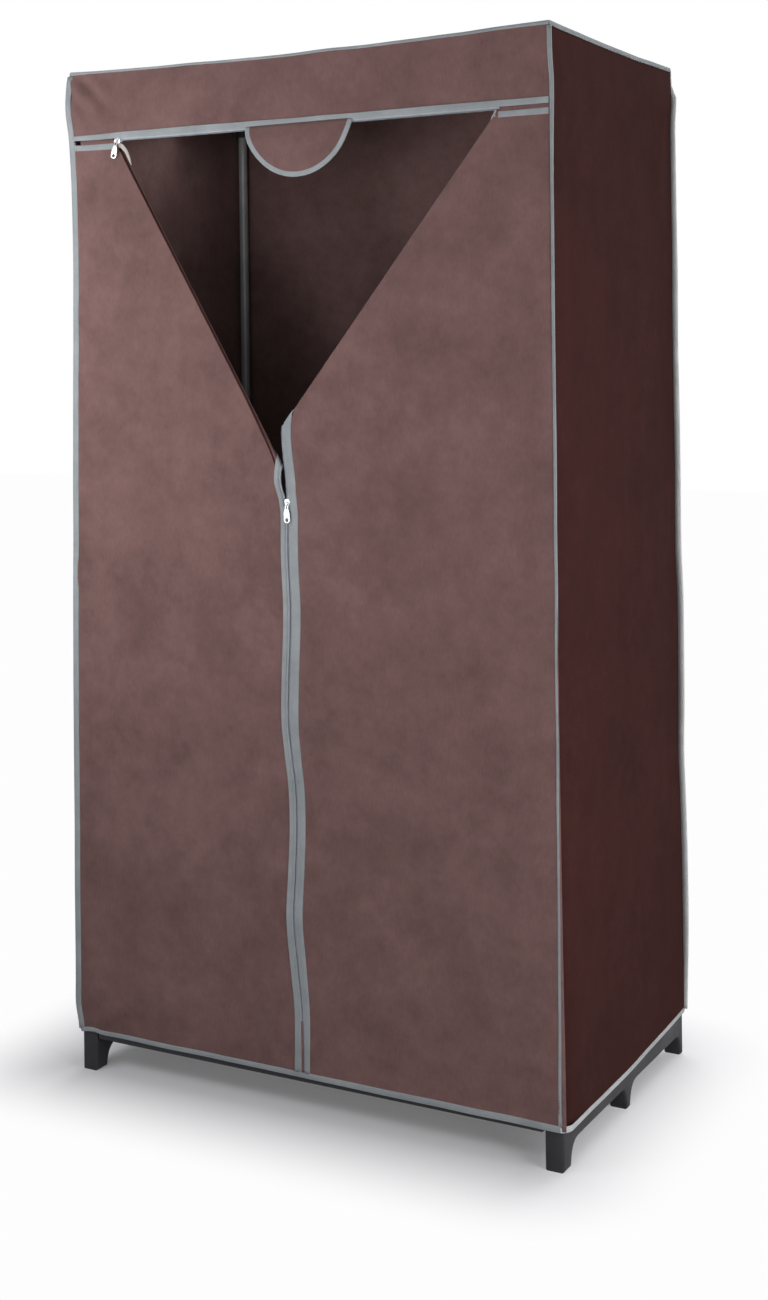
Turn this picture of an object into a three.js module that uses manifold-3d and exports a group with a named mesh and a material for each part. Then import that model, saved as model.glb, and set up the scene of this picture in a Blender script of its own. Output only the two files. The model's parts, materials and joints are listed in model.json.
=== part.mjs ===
// Portable fabric wardrobe: a zipped cloth cover on a steel tube frame with a moulded plastic base.
// Millimetres, +Z up, front towards -Y. The origin is on the floor, under the middle of the whole part.
// The two upper corners of the front are folded inwards, as when the wardrobe stands open.
import * as THREE from "three";
import { mergeVertices } from "three/addons/utils/BufferGeometryUtils.js";
import Module from "manifold-3d";

const wasm = await Module();
wasm.setup();

// Cover
const coverWidth = 840;
const coverDepth = 500;
const coverTop = 1600;
const hemHeight = 58;
const clothGauge = 1.6;
const bindingWidth = 10;
const bindingGauge = 1.2;
const topSagFront = 7;
const topSagSide = 3;
const panelBulge = 4;
const rearBulge = 1.3;
const bellyShare = 0.7;
const edgeFadeShare = 0.25;
const rippleHalfWaves = 5;
const rippleLean = 2;

// Zips
const zipDrop = 115;
const headerBand = 9;
const zipHalfGap = 1.2;
const coilWidth = 2;
const coilGauge = 2.2;
const tapeGauge = 1.4;
const tapeReach = 7.5;
const bandReach = 14.5;
const zipFootHeight = 144;
const zipFootX = -2;
const zipTopX = -26;
const patchWidth = 4;

// Folded corners of the front: how far each fold line starts from the cover's side, on the top edge,
// and its foot beside the vertical zip, as a drop below the cross zip
const foldInsetLeft = 90;
const foldInsetRight = 79;
const foldFootLeftX = -43;
const foldFootLeftDrop = 491;
const foldFootRightX = -7;
const foldFootRightDrop = 433;
const foldAngle = THREE.MathUtils.degToRad(135);

// Half-round tab over the meeting point of the zips
const tabCentreX = 11.5;
const tabHalfWidth = 93;
const tabDrop = 91;
const tabStandOff = 6.5;
const tabCurlLength = 14;
const tabArcShare = 0.97;
const tabBindingWidth = 8;

// Zip sliders and pulls
const sliderLong = 13;
const sliderAcross = 9.4;
const sliderPlate = 1.2;
const sliderPost = 1.6;
const plateStraightShare = 0.5;
const sliderRestDrop = 566;
const parkInset = 7.5;
const parkRelief = 3;
const pinRadius = 0.6;
const pinStandOff = 1.7;
const lugGauge = 1;
const pullHeadLength = 3;
const pullEyeWall = 0.7;
const pullLength = 30;
const pullWidth = 8.2;
const pullNeck = 5;
const pullGauge = 1.2;
const pullHole = 4.4;
const pullNeckShare = 1 / 3;
const pullShoulderShare = 1 / 2;
const pullTipShare = 1 / 2;

// Tube frame
const tubeRadius = 8;
const tubeWall = 1;
const hangingRailRadius = 9;
const uprightInset = 20;
const topBarDrop = 26;
const midBarHeight = 813;
const socketWall = 3;
const socketReach = 32;
const socketSeat = 18;

// Moulded base
const baseInset = 4;
const baseSideWidth = 29;
const baseHeight = 62;
const railClearance = 33;
const crossRailHeight = 48;
const crossRailWidth = 27;
const frontFootLength = 27;
const midFootStart = -4;
const midFootLength = 14;
const rearFootLength = 11;
const footDraft = 1.4;
const flareStart = 8.5;
const flareBehind = 28;
const flareAhead = 16;
const flareBend = 6;
const uprightSeatHeight = 40;
const floorGauge = 2;
const floorLap = 6;

// Clearances and resolution
const seamGap = 0.3;
const runGap = 0.3;
const cutOverrun = 50;
const roundSides = 6;
const panelColumns = 10;
const panelRows = 16;
const rowsBelowFoldShare = 0.6;
const edgeSteps = 10;
const holeSteps = 4;

// Worked out from the sizes above
const halfWidth = coverWidth / 2;
const halfDepth = coverDepth / 2;
const topBarHeight = coverTop - topBarDrop;
const zipHeight = coverTop - zipDrop;
const sliderRestHeight = zipHeight - sliderRestDrop;
const foldTopLeft = foldInsetLeft - halfWidth;
const foldTopRight = halfWidth - foldInsetRight;
const skinInset = bindingGauge + seamGap;
const skinFront = -halfDepth + skinInset;
const innerFront = skinFront + clothGauge;
const wallInset = skinInset + clothGauge + seamGap;
const skinX = halfWidth - skinInset;
const tabFront = halfDepth + seamGap + clothGauge + tabStandOff;
const originShift = (tabFront - halfDepth) / 2;
const headerEdge = zipHeight + zipHalfGap + coilWidth;
const headerClothEdge = zipHeight + tapeReach + seamGap;
const panelTop = headerEdge - seamGap;
const foldTopHeight = zipHeight - zipHalfGap - coilWidth;
const hemTop = hemHeight + bindingWidth;
const uprightX = halfWidth - uprightInset;
const uprightY = halfDepth - uprightInset;
const socketRadius = tubeRadius + seamGap + socketWall;

const colours = {
  cloth: new THREE.MeshStandardMaterial({ color: 0x6b5350, roughness: 0.95 }),
  binding: new THREE.MeshStandardMaterial({ color: 0x8a9094, roughness: 0.8 }),
  zipTape: new THREE.MeshStandardMaterial({ color: 0x858b90, roughness: 0.7 }),
  plastic: new THREE.MeshStandardMaterial({ color: 0x2e3032, roughness: 0.55 }),
  steel: new THREE.MeshStandardMaterial({ color: 0xb9bbbd, roughness: 0.35, metalness: 1 }),
  zinc: new THREE.MeshStandardMaterial({ color: 0xe2e3e4, roughness: 0.25, metalness: 1 }),
};

// Geometry helpers

// A closed three.js geometry as a solid for cutting and joining.
function solidOf(geometry) {
  const bare = geometry.clone();
  bare.deleteAttribute("normal");
  bare.deleteAttribute("uv");
  const merged = mergeVertices(bare);
  return new wasm.Manifold(
    new wasm.Mesh({
      numProp: 3,
      vertProperties: new Float32Array(merged.attributes.position.array),
      triVerts: new Uint32Array(merged.index.array),
    }),
  );
}

function geometryOf(solid) {
  const mesh = solid.getMesh();
  const geometry = new THREE.BufferGeometry();
  geometry.setAttribute("position", new THREE.BufferAttribute(mesh.vertProperties, 3));
  geometry.setIndex(new THREE.BufferAttribute(mesh.triVerts, 1));
  return geometry;
}

function volumeOf(geometry) {
  const p = geometry.attributes.position;
  const corner = [new THREE.Vector3(), new THREE.Vector3(), new THREE.Vector3()];
  let total = 0;
  for (let i = 0; i < geometry.index.count; i += 3) {
    corner.forEach((c, k) => c.fromBufferAttribute(p, geometry.index.getX(i + k)));
    total += corner[0].dot(corner[1].clone().cross(corner[2]));
  }
  return total / 6;
}

// Points and quads as a geometry whose faces point outwards.
function closedGeometry(points, quads) {
  const geometry = new THREE.BufferGeometry().setFromPoints(points);
  const corners = quads.flatMap(([a, b, c, d]) => [a, b, c, a, c, d]);
  geometry.setIndex(corners);
  if (volumeOf(geometry) < 0) geometry.setIndex(corners.reverse());
  return geometry;
}

// A sheet of cloth with its thickness: place(u, v, inner) gives a point of its outer or inner face.
function clothSheet(columns, rows, place) {
  const points = [];
  const at = (i, j, inner) => (inner * (rows + 1) + j) * (columns + 1) + i;
  for (const inner of [0, 1])
    for (let j = 0; j <= rows; j++)
      for (let i = 0; i <= columns; i++) points.push(place(i / columns, j / rows, inner));
  const quads = [];
  for (let j = 0; j < rows; j++)
    for (let i = 0; i < columns; i++) {
      quads.push([at(i, j, 0), at(i + 1, j, 0), at(i + 1, j + 1, 0), at(i, j + 1, 0)]);
      quads.push([at(i, j + 1, 1), at(i + 1, j + 1, 1), at(i + 1, j, 1), at(i, j, 1)]);
    }
  for (let i = 0; i < columns; i++) {
    quads.push([at(i + 1, 0, 0), at(i, 0, 0), at(i, 0, 1), at(i + 1, 0, 1)]);
    quads.push([at(i, rows, 0), at(i + 1, rows, 0), at(i + 1, rows, 1), at(i, rows, 1)]);
  }
  for (let j = 0; j < rows; j++) {
    quads.push([at(0, j, 0), at(0, j + 1, 0), at(0, j + 1, 1), at(0, j, 1)]);
    quads.push([at(columns, j + 1, 0), at(columns, j, 0), at(columns, j, 1), at(columns, j + 1, 1)]);
  }
  return closedGeometry(points, quads);
}

// A section that runs round the cover: its points are [outwards from the cover's side, height].
function loopRound(section, sag) {
  const sides = [
    [-1, -1, 1, -1],
    [1, -1, 1, 1],
    [1, 1, -1, 1],
    [-1, 1, -1, -1],
  ];
  const stations = sides.flatMap(([x0, y0, x1, y1]) =>
    Array.from({ length: edgeSteps }, (_, i) => {
      const t = i / edgeSteps;
      return [THREE.MathUtils.lerp(x0, x1, t), THREE.MathUtils.lerp(y0, y1, t)];
    }),
  );
  const points = stations.flatMap(([x, y]) =>
    section.map(
      ([out, height]) =>
        new THREE.Vector3(x * (halfWidth + out), y * (halfDepth + out), height - sag(x, y)),
    ),
  );
  const n = section.length;
  const quads = stations.flatMap((_, s) => {
    const next = (s + 1) % stations.length;
    return section.map((_, k) => {
      const after = (k + 1) % n;
      return [s * n + k, s * n + after, next * n + after, next * n + k];
    });
  });
  return closedGeometry(points, quads);
}

function outline(points) {
  return new THREE.Shape(points.map(([x, y]) => new THREE.Vector2(x, y)));
}

// A shape drawn in X and Z, seen from the front, with its thickness from y0 back to y1.
function plateFront(shape, y0, y1) {
  const geometry = new THREE.ExtrudeGeometry(shape, { depth: y1 - y0, bevelEnabled: false });
  return geometry.rotateX(Math.PI / 2).translate(0, y1, 0);
}

// A shape drawn in Y and Z, with its thickness from x0 to x1.
function plateSide(shape, x0, x1) {
  const geometry = new THREE.ExtrudeGeometry(shape, {
    depth: x1 - x0,
    bevelEnabled: false,
    curveSegments: roundSides / 2,
  });
  return geometry.rotateX(Math.PI / 2).rotateZ(Math.PI / 2).translate(x0, 0, 0);
}

function box(x0, x1, y0, y1, z0, z1) {
  const geometry = new THREE.BoxGeometry(x1 - x0, y1 - y0, z1 - z0);
  return geometry.translate((x0 + x1) / 2, (y0 + y1) / 2, (z0 + z1) / 2);
}

// A tube or rod from one point to another along X, Y or Z.
function rod(radius, from, to, bore = 0) {
  const shape = new THREE.Shape().absarc(0, 0, radius, 0, 2 * Math.PI);
  if (bore > 0) shape.holes.push(new THREE.Path().absarc(0, 0, bore, 0, 2 * Math.PI));
  const geometry = new THREE.ExtrudeGeometry(shape, {
    depth: from.distanceTo(to),
    bevelEnabled: false,
    curveSegments: roundSides,
  });
  const turn = new THREE.Quaternion().setFromUnitVectors(
    new THREE.Vector3(0, 0, 1),
    to.clone().sub(from).normalize(),
  );
  return geometry.applyQuaternion(turn).translate(from.x, from.y, from.z);
}

const root = new THREE.Group();
const wardrobe = new THREE.Group();
wardrobe.position.y = originShift;
root.add(wardrobe);

function addPiece(name, geometry, material, parent = wardrobe) {
  const mesh = new THREE.Mesh(geometry, material);
  mesh.name = name;
  parent.add(mesh);
  return mesh;
}

const sides = [
  ["left", -1],
  ["right", 1],
];
const ends = [
  ["front", -1],
  ["rear", 1],
];

// Moulded base: two side frames with three feet each, and the two rails between them

function baseSideOutline() {
  const reach = halfDepth - baseInset;
  const shape = new THREE.Shape();
  const footUp = (y) => {
    shape.lineTo(y, 0);
    shape.lineTo(y + footDraft, flareStart);
    shape.quadraticCurveTo(y + flareBend, railClearance, y + flareBehind, railClearance);
  };
  const footDown = (y) => {
    shape.lineTo(y - flareAhead, railClearance);
    shape.quadraticCurveTo(y - flareBend, railClearance, y - footDraft, flareStart);
    shape.lineTo(y, 0);
  };
  shape.moveTo(-reach, 0);
  footUp(-reach + frontFootLength);
  footDown(midFootStart);
  footUp(midFootStart + midFootLength);
  footDown(reach - rearFootLength);
  shape.lineTo(reach, 0);
  shape.lineTo(reach, baseHeight);
  shape.lineTo(-reach, baseHeight);
  return shape;
}

function baseSide(side) {
  const outer = side * (halfWidth - baseInset);
  const x = [outer, outer - side * baseSideWidth].sort((a, b) => a - b);
  let solid = solidOf(plateSide(baseSideOutline(), x[0], x[1]));
  for (const [, end] of ends) {
    const hole = rod(
      tubeRadius + seamGap,
      new THREE.Vector3(side * uprightX, end * uprightY, uprightSeatHeight - seamGap),
      new THREE.Vector3(side * uprightX, end * uprightY, baseHeight + cutOverrun),
    );
    solid = solid.subtract(solidOf(hole));
  }
  return geometryOf(solid);
}

function baseRail(end) {
  const x1 = halfWidth - baseInset - baseSideWidth - seamGap;
  const outer = halfDepth - baseInset;
  const y = [end * outer, end * (outer - crossRailWidth)].sort((a, b) => a - b);
  return box(-x1, x1, y[0], y[1], crossRailHeight, baseHeight);
}

for (const [name, side] of sides) addPiece(`base_side_${name}`, baseSide(side), colours.plastic);
for (const [name, end] of ends) addPiece(`base_rail_${name}`, baseRail(end), colours.plastic);

const floorX = halfWidth - baseInset - baseSideWidth + floorLap;
const floorY = uprightY - tubeRadius - seamGap;
addPiece(
  "floor_panel",
  box(-floorX, floorX, -floorY, floorY, baseHeight + seamGap, baseHeight + seamGap + floorGauge),
  colours.cloth,
);

// Tube frame: uprights in two lengths, bars half way up and at the top, and the rail for hangers

// A moulded connector: a sleeve along each arm, bored for its tube. An arm with no bore is a plain cap.
function connector(centre, arms) {
  const end = (arm, length) => centre.clone().add(new THREE.Vector3(...arm.way).multiplyScalar(length));
  const bodies = arms.map((arm) => solidOf(rod(arm.radius, centre, end(arm, arm.length))));
  const bores = arms
    .filter((arm) => arm.bore > 0)
    .map((arm) => solidOf(rod(arm.bore, end(arm, arm.seat), end(arm, arm.length + cutOverrun))));
  const joined = bodies.reduce((a, b) => a.add(b), solidOf(knuckle(centre)));
  return geometryOf(bores.reduce((a, b) => a.subtract(b), joined));
}

// The block where a connector's arms meet.
function knuckle(centre) {
  const side = 2 * socketRadius;
  return new THREE.BoxGeometry(side, side, side).translate(centre.x, centre.y, centre.z);
}

function tubeArm(way, seat = socketSeat) {
  return {
    way,
    length: socketReach,
    seat,
    radius: socketRadius,
    bore: tubeRadius + seamGap,
  };
}

function tube(from, to, radius = tubeRadius) {
  return rod(radius, from, to, radius - tubeWall);
}

// How far the cloth hangs below the top, at a place given as a share of the half width and half depth.
function topSag(xShare, yShare) {
  return topSagFront * (1 - xShare * xShare) + topSagSide * (1 - yShare * yShare);
}

function capHeight() {
  const xShare = (uprightX - socketRadius) / halfWidth;
  const yShare = (uprightY - socketRadius) / halfDepth;
  const innerRoof = coverTop - skinInset - clothGauge - topSag(xShare, yShare);
  return innerRoof - seamGap - topBarHeight;
}

for (const [sideName, side] of sides) {
  for (const [endName, end] of ends) {
    const at = (z) => new THREE.Vector3(side * uprightX, end * uprightY, z);
    const corner = `${endName}_${sideName}`;
    addPiece(
      `lower_upright_${corner}`,
      tube(at(uprightSeatHeight), at(midBarHeight - socketSeat - seamGap)),
      colours.steel,
    );
    addPiece(
      `upper_upright_${corner}`,
      tube(at(midBarHeight + socketSeat + seamGap), at(topBarHeight - socketSeat - seamGap)),
      colours.steel,
    );
    addPiece(
      `mid_coupler_${corner}`,
      connector(at(midBarHeight), [
        tubeArm([0, 0, 1]),
        tubeArm([0, 0, -1]),
        tubeArm([0, -end, 0]),
      ]),
      colours.plastic,
    );
    const cap = { way: [0, 0, 1], length: capHeight(), radius: socketRadius, bore: 0 };
    addPiece(
      `top_corner_${corner}`,
      connector(at(topBarHeight), [
        tubeArm([0, 0, -1]),
        tubeArm([-side, 0, 0]),
        tubeArm([0, -end, 0]),
        cap,
      ]),
      colours.plastic,
    );
  }
  const barEnd = uprightY - socketSeat - seamGap;
  for (const [name, z] of [
    ["mid_side_bar", midBarHeight],
    ["top_side_bar", topBarHeight],
  ]) {
    addPiece(
      `${name}_${sideName}`,
      tube(
        new THREE.Vector3(side * uprightX, -barEnd, z),
        new THREE.Vector3(side * uprightX, barEnd, z),
      ),
      colours.steel,
    );
  }
  addPiece(`rail_socket_${sideName}`, railSocket(side), colours.plastic);
}

// A sleeve clipped round a top side bar, with an arm that holds the end of the hanging rail.
function railSocket(side) {
  const centre = new THREE.Vector3(side * uprightX, 0, topBarHeight);
  const along = new THREE.Vector3(0, socketReach, 0);
  const armEnd = centre.clone().add(new THREE.Vector3(-side * socketReach, 0, 0));
  const armSeat = centre.clone().add(new THREE.Vector3(-side * socketSeat, 0, 0));
  const past = armEnd.clone().add(new THREE.Vector3(-side * cutOverrun, 0, 0));
  const sleeve = rod(socketRadius, centre.clone().sub(along), centre.clone().add(along));
  const arm = rod(hangingRailRadius + seamGap + socketWall, centre, armEnd);
  const far = along.clone().setLength(socketReach + cutOverrun);
  const barBore = rod(tubeRadius + seamGap, centre.clone().sub(far), centre.clone().add(far));
  const railBore = rod(hangingRailRadius + seamGap, armSeat, past);
  const joined = solidOf(sleeve).add(solidOf(arm));
  return geometryOf(joined.subtract(solidOf(barBore)).subtract(solidOf(railBore)));
}

const topBarEnd = uprightX - socketSeat - seamGap;
for (const [name, y, radius] of [
  ["top_front_bar", -uprightY, tubeRadius],
  ["top_rear_bar", uprightY, tubeRadius],
  ["hanging_rail", 0, hangingRailRadius],
]) {
  addPiece(
    name,
    tube(
      new THREE.Vector3(-topBarEnd, y, topBarHeight),
      new THREE.Vector3(topBarEnd, y, topBarHeight),
      radius,
    ),
    colours.steel,
  );
}

// Cover cloth

// The soft shape of a hung panel: a shallow belly with a few vertical ripples, nothing at its edges.
function drape(u, v) {
  const belly = Math.sin(Math.PI * u) * Math.sin(Math.PI * v);
  const ripple = Math.cos(rippleHalfWaves * Math.PI * u + rippleLean * v);
  return belly * panelBulge * (bellyShare + (1 - bellyShare) * ripple);
}

function roofPoint(u, v, inner) {
  const x = THREE.MathUtils.lerp(-skinX, skinX, u);
  const y = THREE.MathUtils.lerp(skinFront, -skinFront, v);
  const z = coverTop - skinInset - inner * clothGauge;
  return new THREE.Vector3(x, y, z - topSag(x / halfWidth, y / halfDepth));
}

// The height just under the roof cloth, over a point on the side of the cover.
function underRoof(xShare, yShare) {
  return coverTop - wallInset - topSag(xShare, yShare);
}

function sidePanelPoint(side) {
  return (u, v, inner) => {
    const y = THREE.MathUtils.lerp(innerFront + seamGap, -innerFront - seamGap, u);
    const top = underRoof(skinX / halfWidth, y / halfDepth);
    const z = THREE.MathUtils.lerp(hemHeight + skinInset, top, v);
    const out = skinX - inner * clothGauge + drape(u, v);
    return new THREE.Vector3(side * out, y, z);
  };
}

function rearPanelPoint(u, v, inner) {
  const x = THREE.MathUtils.lerp(-skinX, skinX, u);
  const z = THREE.MathUtils.lerp(hemHeight + skinInset, underRoof(x / halfWidth, 1), v);
  const out = (drape(u, v) * rearBulge) / panelBulge;
  return new THREE.Vector3(x, -skinFront - inner * clothGauge + out, z);
}

function headerPoint(u, v, inner) {
  const x = THREE.MathUtils.lerp(-skinX, skinX, u);
  const z = THREE.MathUtils.lerp(headerClothEdge, underRoof(x / halfWidth, 1), v);
  return new THREE.Vector3(x, skinFront + inner * clothGauge, z);
}

// The zip line of the front leans a little, as the cloth hangs.
function zipX(z) {
  const t = (z - zipFootHeight) / (zipHeight - zipFootHeight);
  return THREE.MathUtils.lerp(zipFootX, zipTopX, t);
}

const folds = {
  left: makeFold(foldTopLeft, foldFootLeftX, zipHeight - foldFootLeftDrop),
  right: makeFold(foldTopRight, foldFootRightX, zipHeight - foldFootRightDrop),
};

// A fold line in the plane of the front: its two ends, the way to the flap and the hinge axis.
function makeFold(topX, footX, footHeight) {
  const top = new THREE.Vector3(topX, innerFront, foldTopHeight);
  const foot = new THREE.Vector3(footX, innerFront, footHeight);
  const along = foot.clone().sub(top).normalize();
  const outward = new THREE.Vector3(0, -1, 0);
  const toFlap = new THREE.Vector3(-along.z, 0, along.x).multiplyScalar(topX < footX ? 1 : -1);
  const axis = toFlap.clone().cross(outward).normalize();
  return { top, foot, along, toFlap, axis };
}

function foldX(fold, z) {
  const t = (z - fold.top.z) / (fold.foot.z - fold.top.z);
  return THREE.MathUtils.lerp(fold.top.x, fold.foot.x, t);
}

// Heights of the rows of a front panel: even below the fold, even along it, and the sewn strip on top.
function panelHeights(fold, side) {
  const crossing = foldCrossing(fold, side);
  const below = Math.round(panelRows * rowsBelowFoldShare);
  const along = panelRows - below - 1;
  const heights = [];
  for (let j = 0; j < below; j++)
    heights.push(THREE.MathUtils.lerp(hemHeight + skinInset, crossing, j / below));
  for (let j = 0; j <= along; j++)
    heights.push(THREE.MathUtils.lerp(crossing, foldTopHeight, j / along));
  heights.push(panelTop);
  return heights;
}

// Where the fold line crosses the cloth's own edge beside the zip. Both are straight, so their
// distance apart at two heights gives the crossing.
function foldCrossing(fold, side) {
  const apart = (z) => foldX(fold, z) - zipX(z) - side * (tapeReach + seamGap);
  return (foldTopHeight * apart(0)) / (apart(0) - apart(foldTopHeight));
}

function frontPanelPoint(name, side) {
  const fold = folds[name];
  const heights = panelHeights(fold, side);
  const back = seamGap / Math.abs(fold.toFlap.x);
  return (u, v, inner) => {
    const row = Math.round(v * (heights.length - 1));
    const z = heights[row];
    const zipEdge = zipX(z) + side * (tapeReach + seamGap);
    const foldEdge = foldX(fold, Math.min(z, foldTopHeight)) + side * back;
    const edge = side > 0 ? Math.max(zipEdge, foldEdge) : Math.min(zipEdge, foldEdge);
    const x = THREE.MathUtils.lerp(side * skinX, edge, u);
    const fade = (z - hemHeight) / (panelTop - hemHeight);
    const out = Math.min(1, (1 - u) / edgeFadeShare) * drape(u, fade);
    return new THREE.Vector3(x, skinFront + inner * clothGauge - out, z);
  };
}

addPiece("roof_panel", clothSheet(edgeSteps, edgeSteps, roofPoint), colours.cloth);
addPiece("rear_panel", clothSheet(panelColumns, panelRows, rearPanelPoint), colours.cloth);
addPiece("header_panel", clothSheet(edgeSteps, 2, headerPoint), colours.cloth);
for (const [name, side] of sides) {
  const sidePanel = clothSheet(panelColumns, panelRows, sidePanelPoint(side));
  const frontPanel = clothSheet(panelColumns, panelRows, frontPanelPoint(name, side));
  addPiece(`side_panel_${name}`, sidePanel, colours.cloth);
  addPiece(`front_panel_${name}`, frontPanel, colours.cloth);
}

// Binding round the edges of the cover

addPiece(
  "top_binding",
  loopRound(
    [
      [0, coverTop],
      [0, coverTop - bindingWidth],
      [-bindingGauge, coverTop - bindingWidth],
      [-bindingGauge, coverTop - bindingGauge],
      [-bindingWidth, coverTop - bindingGauge],
      [-bindingWidth, coverTop],
    ],
    topSag,
  ),
  colours.binding,
);
addPiece(
  "hem_binding",
  loopRound(
    [
      [0, hemHeight],
      [0, hemTop],
      [-bindingGauge, hemTop],
      [-bindingGauge, hemHeight + bindingGauge],
      [-wallInset, hemHeight + bindingGauge],
      [-wallInset, hemHeight],
    ],
    () => 0,
  ),
  colours.binding,
);

function cornerBinding(side, end) {
  const angle = outline(
    [
      [0, 0],
      [-bindingWidth, 0],
      [-bindingWidth, -bindingGauge],
      [-bindingGauge, -bindingGauge],
      [-bindingGauge, -bindingWidth],
      [0, -bindingWidth],
    ].map(([x, y]) => [side * (halfWidth + x), end * (halfDepth + y)]),
  );
  const sideSag = topSag(1, 1 - bindingWidth / halfDepth);
  const frontSag = topSag(1 - bindingWidth / halfWidth, 1);
  const depth = coverTop - bindingWidth - sideSag - frontSag - hemTop - 2 * seamGap;
  const geometry = new THREE.ExtrudeGeometry(angle, { depth, bevelEnabled: false });
  return geometry.translate(0, 0, hemTop + seamGap);
}

for (const [sideName, side] of sides)
  for (const [endName, end] of ends)
    addPiece(`corner_binding_${endName}_${sideName}`, cornerBinding(side, end), colours.binding);

// Zip tapes. A half tape's section: binding over the cloth's edge, then the tape, then the coil.

// The points are [across from the middle of the zip, depth from the cover's front].
function halfTapeSection() {
  const coilOuter = zipHalfGap + coilWidth;
  return [
    [zipHalfGap, 0],
    [bandReach, 0],
    [bandReach, bindingGauge],
    [tapeReach, bindingGauge],
    [tapeReach, tapeGauge],
    [coilOuter, tapeGauge],
    [coilOuter, coilGauge],
    [zipHalfGap, coilGauge],
  ];
}

// The half tape beside the vertical zip, which leans with the zip line, before the fold cuts it.
function verticalTape(side, z0, z1) {
  const points = halfTapeSection().map(([across, depth]) => [side * across, depth - halfDepth]);
  const lean = (zipTopX - zipFootX) / (zipHeight - zipFootHeight);
  const depth = z1 - z0;
  const geometry = new THREE.ExtrudeGeometry(outline(points), { depth, bevelEnabled: false });
  geometry.translate(0, 0, z0);
  geometry.applyMatrix4(new THREE.Matrix4().set(1, 0, lean, 0, 0, 1, 0, 0, 0, 0, 1, 0, 0, 0, 0, 1));
  return geometry.translate(zipX(0), 0, 0);
}

// The half tape on the top edge of the front, under the horizontal zip.
function crossTape(x0, x1) {
  const points = halfTapeSection().map(([across, depth]) => [depth - halfDepth, zipHeight - across]);
  return plateSide(outline(points), x0, x1);
}

// The region of the front beyond a fold line, moved by a distance towards the flap.
function beyondFold(fold, shift) {
  const reach = coverTop;
  const start = fold.top.clone().addScaledVector(fold.toFlap, shift);
  const corners = [
    start.clone().addScaledVector(fold.along, -reach),
    start.clone().addScaledVector(fold.along, reach),
    start.clone().addScaledVector(fold.along, reach).addScaledVector(fold.toFlap, reach),
    start.clone().addScaledVector(fold.along, -reach).addScaledVector(fold.toFlap, reach),
  ];
  const shape = outline(corners.map((p) => [p.x, p.z]));
  return solidOf(plateFront(shape, -halfDepth - cutOverrun, -halfDepth + cutOverrun));
}

function fixedTape(name, side) {
  const strip = solidOf(verticalTape(side, hemTop + seamGap, foldTopHeight));
  return geometryOf(strip.subtract(beyondFold(folds[name], -seamGap)));
}

for (const [name, side] of sides)
  addPiece(`front_zip_tape_${name}`, fixedTape(name, side), colours.zipTape);

// A strip of cover cloth sewn over the zip below its lower end.
addPiece(
  "zip_bottom_patch",
  clothSheet(1, 1, (u, v, inner) => {
    const z = THREE.MathUtils.lerp(hemTop + seamGap, zipFootHeight, v);
    const x = zipX(z) + THREE.MathUtils.lerp(-patchWidth / 2, patchWidth / 2, u);
    const front = -halfDepth - seamGap - bindingGauge;
    return new THREE.Vector3(x, front + inner * bindingGauge, z);
  }),
  colours.cloth,
);

// The header's lower band with its half of the horizontal zip.
function headerTape() {
  const inner = halfWidth - bindingWidth - seamGap;
  const band = box(
    -inner,
    inner,
    -halfDepth,
    -halfDepth + bindingGauge,
    headerEdge - coilWidth / 2,
    headerEdge + headerBand,
  );
  const coil = box(
    foldTopLeft,
    foldTopRight,
    -halfDepth,
    -halfDepth + coilGauge,
    zipHeight + zipHalfGap,
    headerEdge - seamGap,
  );
  return geometryOf(solidOf(band).add(solidOf(coil)));
}

addPiece("header_zip_tape", headerTape(), colours.zipTape);

// The band on the sewn part of a front panel's top edge, from the corner binding to the fold.
function panelTopBinding(name, side) {
  const ends = [side * (halfWidth - bindingWidth - seamGap), folds[name].top.x];
  const strip = box(
    Math.min(...ends),
    Math.max(...ends),
    -halfDepth,
    -halfDepth + bindingGauge,
    zipHeight - bandReach,
    foldTopHeight,
  );
  return geometryOf(solidOf(strip).subtract(beyondFold(folds[name], -seamGap)));
}

for (const [name, side] of sides)
  addPiece(`panel_top_binding_${name}`, panelTopBinding(name, side), colours.binding);

// Folded corners of the front. Each is drawn closed, in the plane of the front, then turned in.

// Where the cross slider stands at an end of its travel, beside the top of a fold.
function parkX(name) {
  const fold = folds[name];
  return fold.top.x - Math.sign(fold.top.x) * parkInset;
}

// A flap in the plane of the front. It is cut away round the cross slider's place at its fold, with
// room below it for the flap's own thickness as the flap turns.
function closedFlap(name, side) {
  const fold = folds[name];
  const top = zipHeight - tapeReach - seamGap;
  const cloth = outline([
    [fold.top.x, top],
    [fold.top.x, 0],
    [zipX(0) + side * (tapeReach + seamGap), 0],
    [zipX(top) + side * (tapeReach + seamGap), top],
  ]);
  const cornerX = zipX(zipHeight) + side * zipHalfGap;
  const tapes = solidOf(verticalTape(side, 0, zipHeight - zipHalfGap)).add(
    solidOf(crossTape(Math.min(fold.top.x, cornerX), Math.max(fold.top.x, cornerX))),
  );
  const seam = flapSeam(side, fold);
  const whole = solidOf(plateFront(cloth, skinFront, innerFront)).add(seam).add(tapes);
  const parkEnds = [fold.top.x + side * cutOverrun, parkX(name) - side * (sliderLong / 2 + runGap)];
  const parked = box(
    Math.min(...parkEnds),
    Math.max(...parkEnds),
    -halfDepth - cutOverrun,
    -halfDepth + cutOverrun,
    zipHeight - sliderAcross / 2 - runGap - parkRelief,
    zipHeight + cutOverrun,
  );
  return whole.intersect(beyondFold(fold, seamGap)).subtract(solidOf(parked));
}

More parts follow.
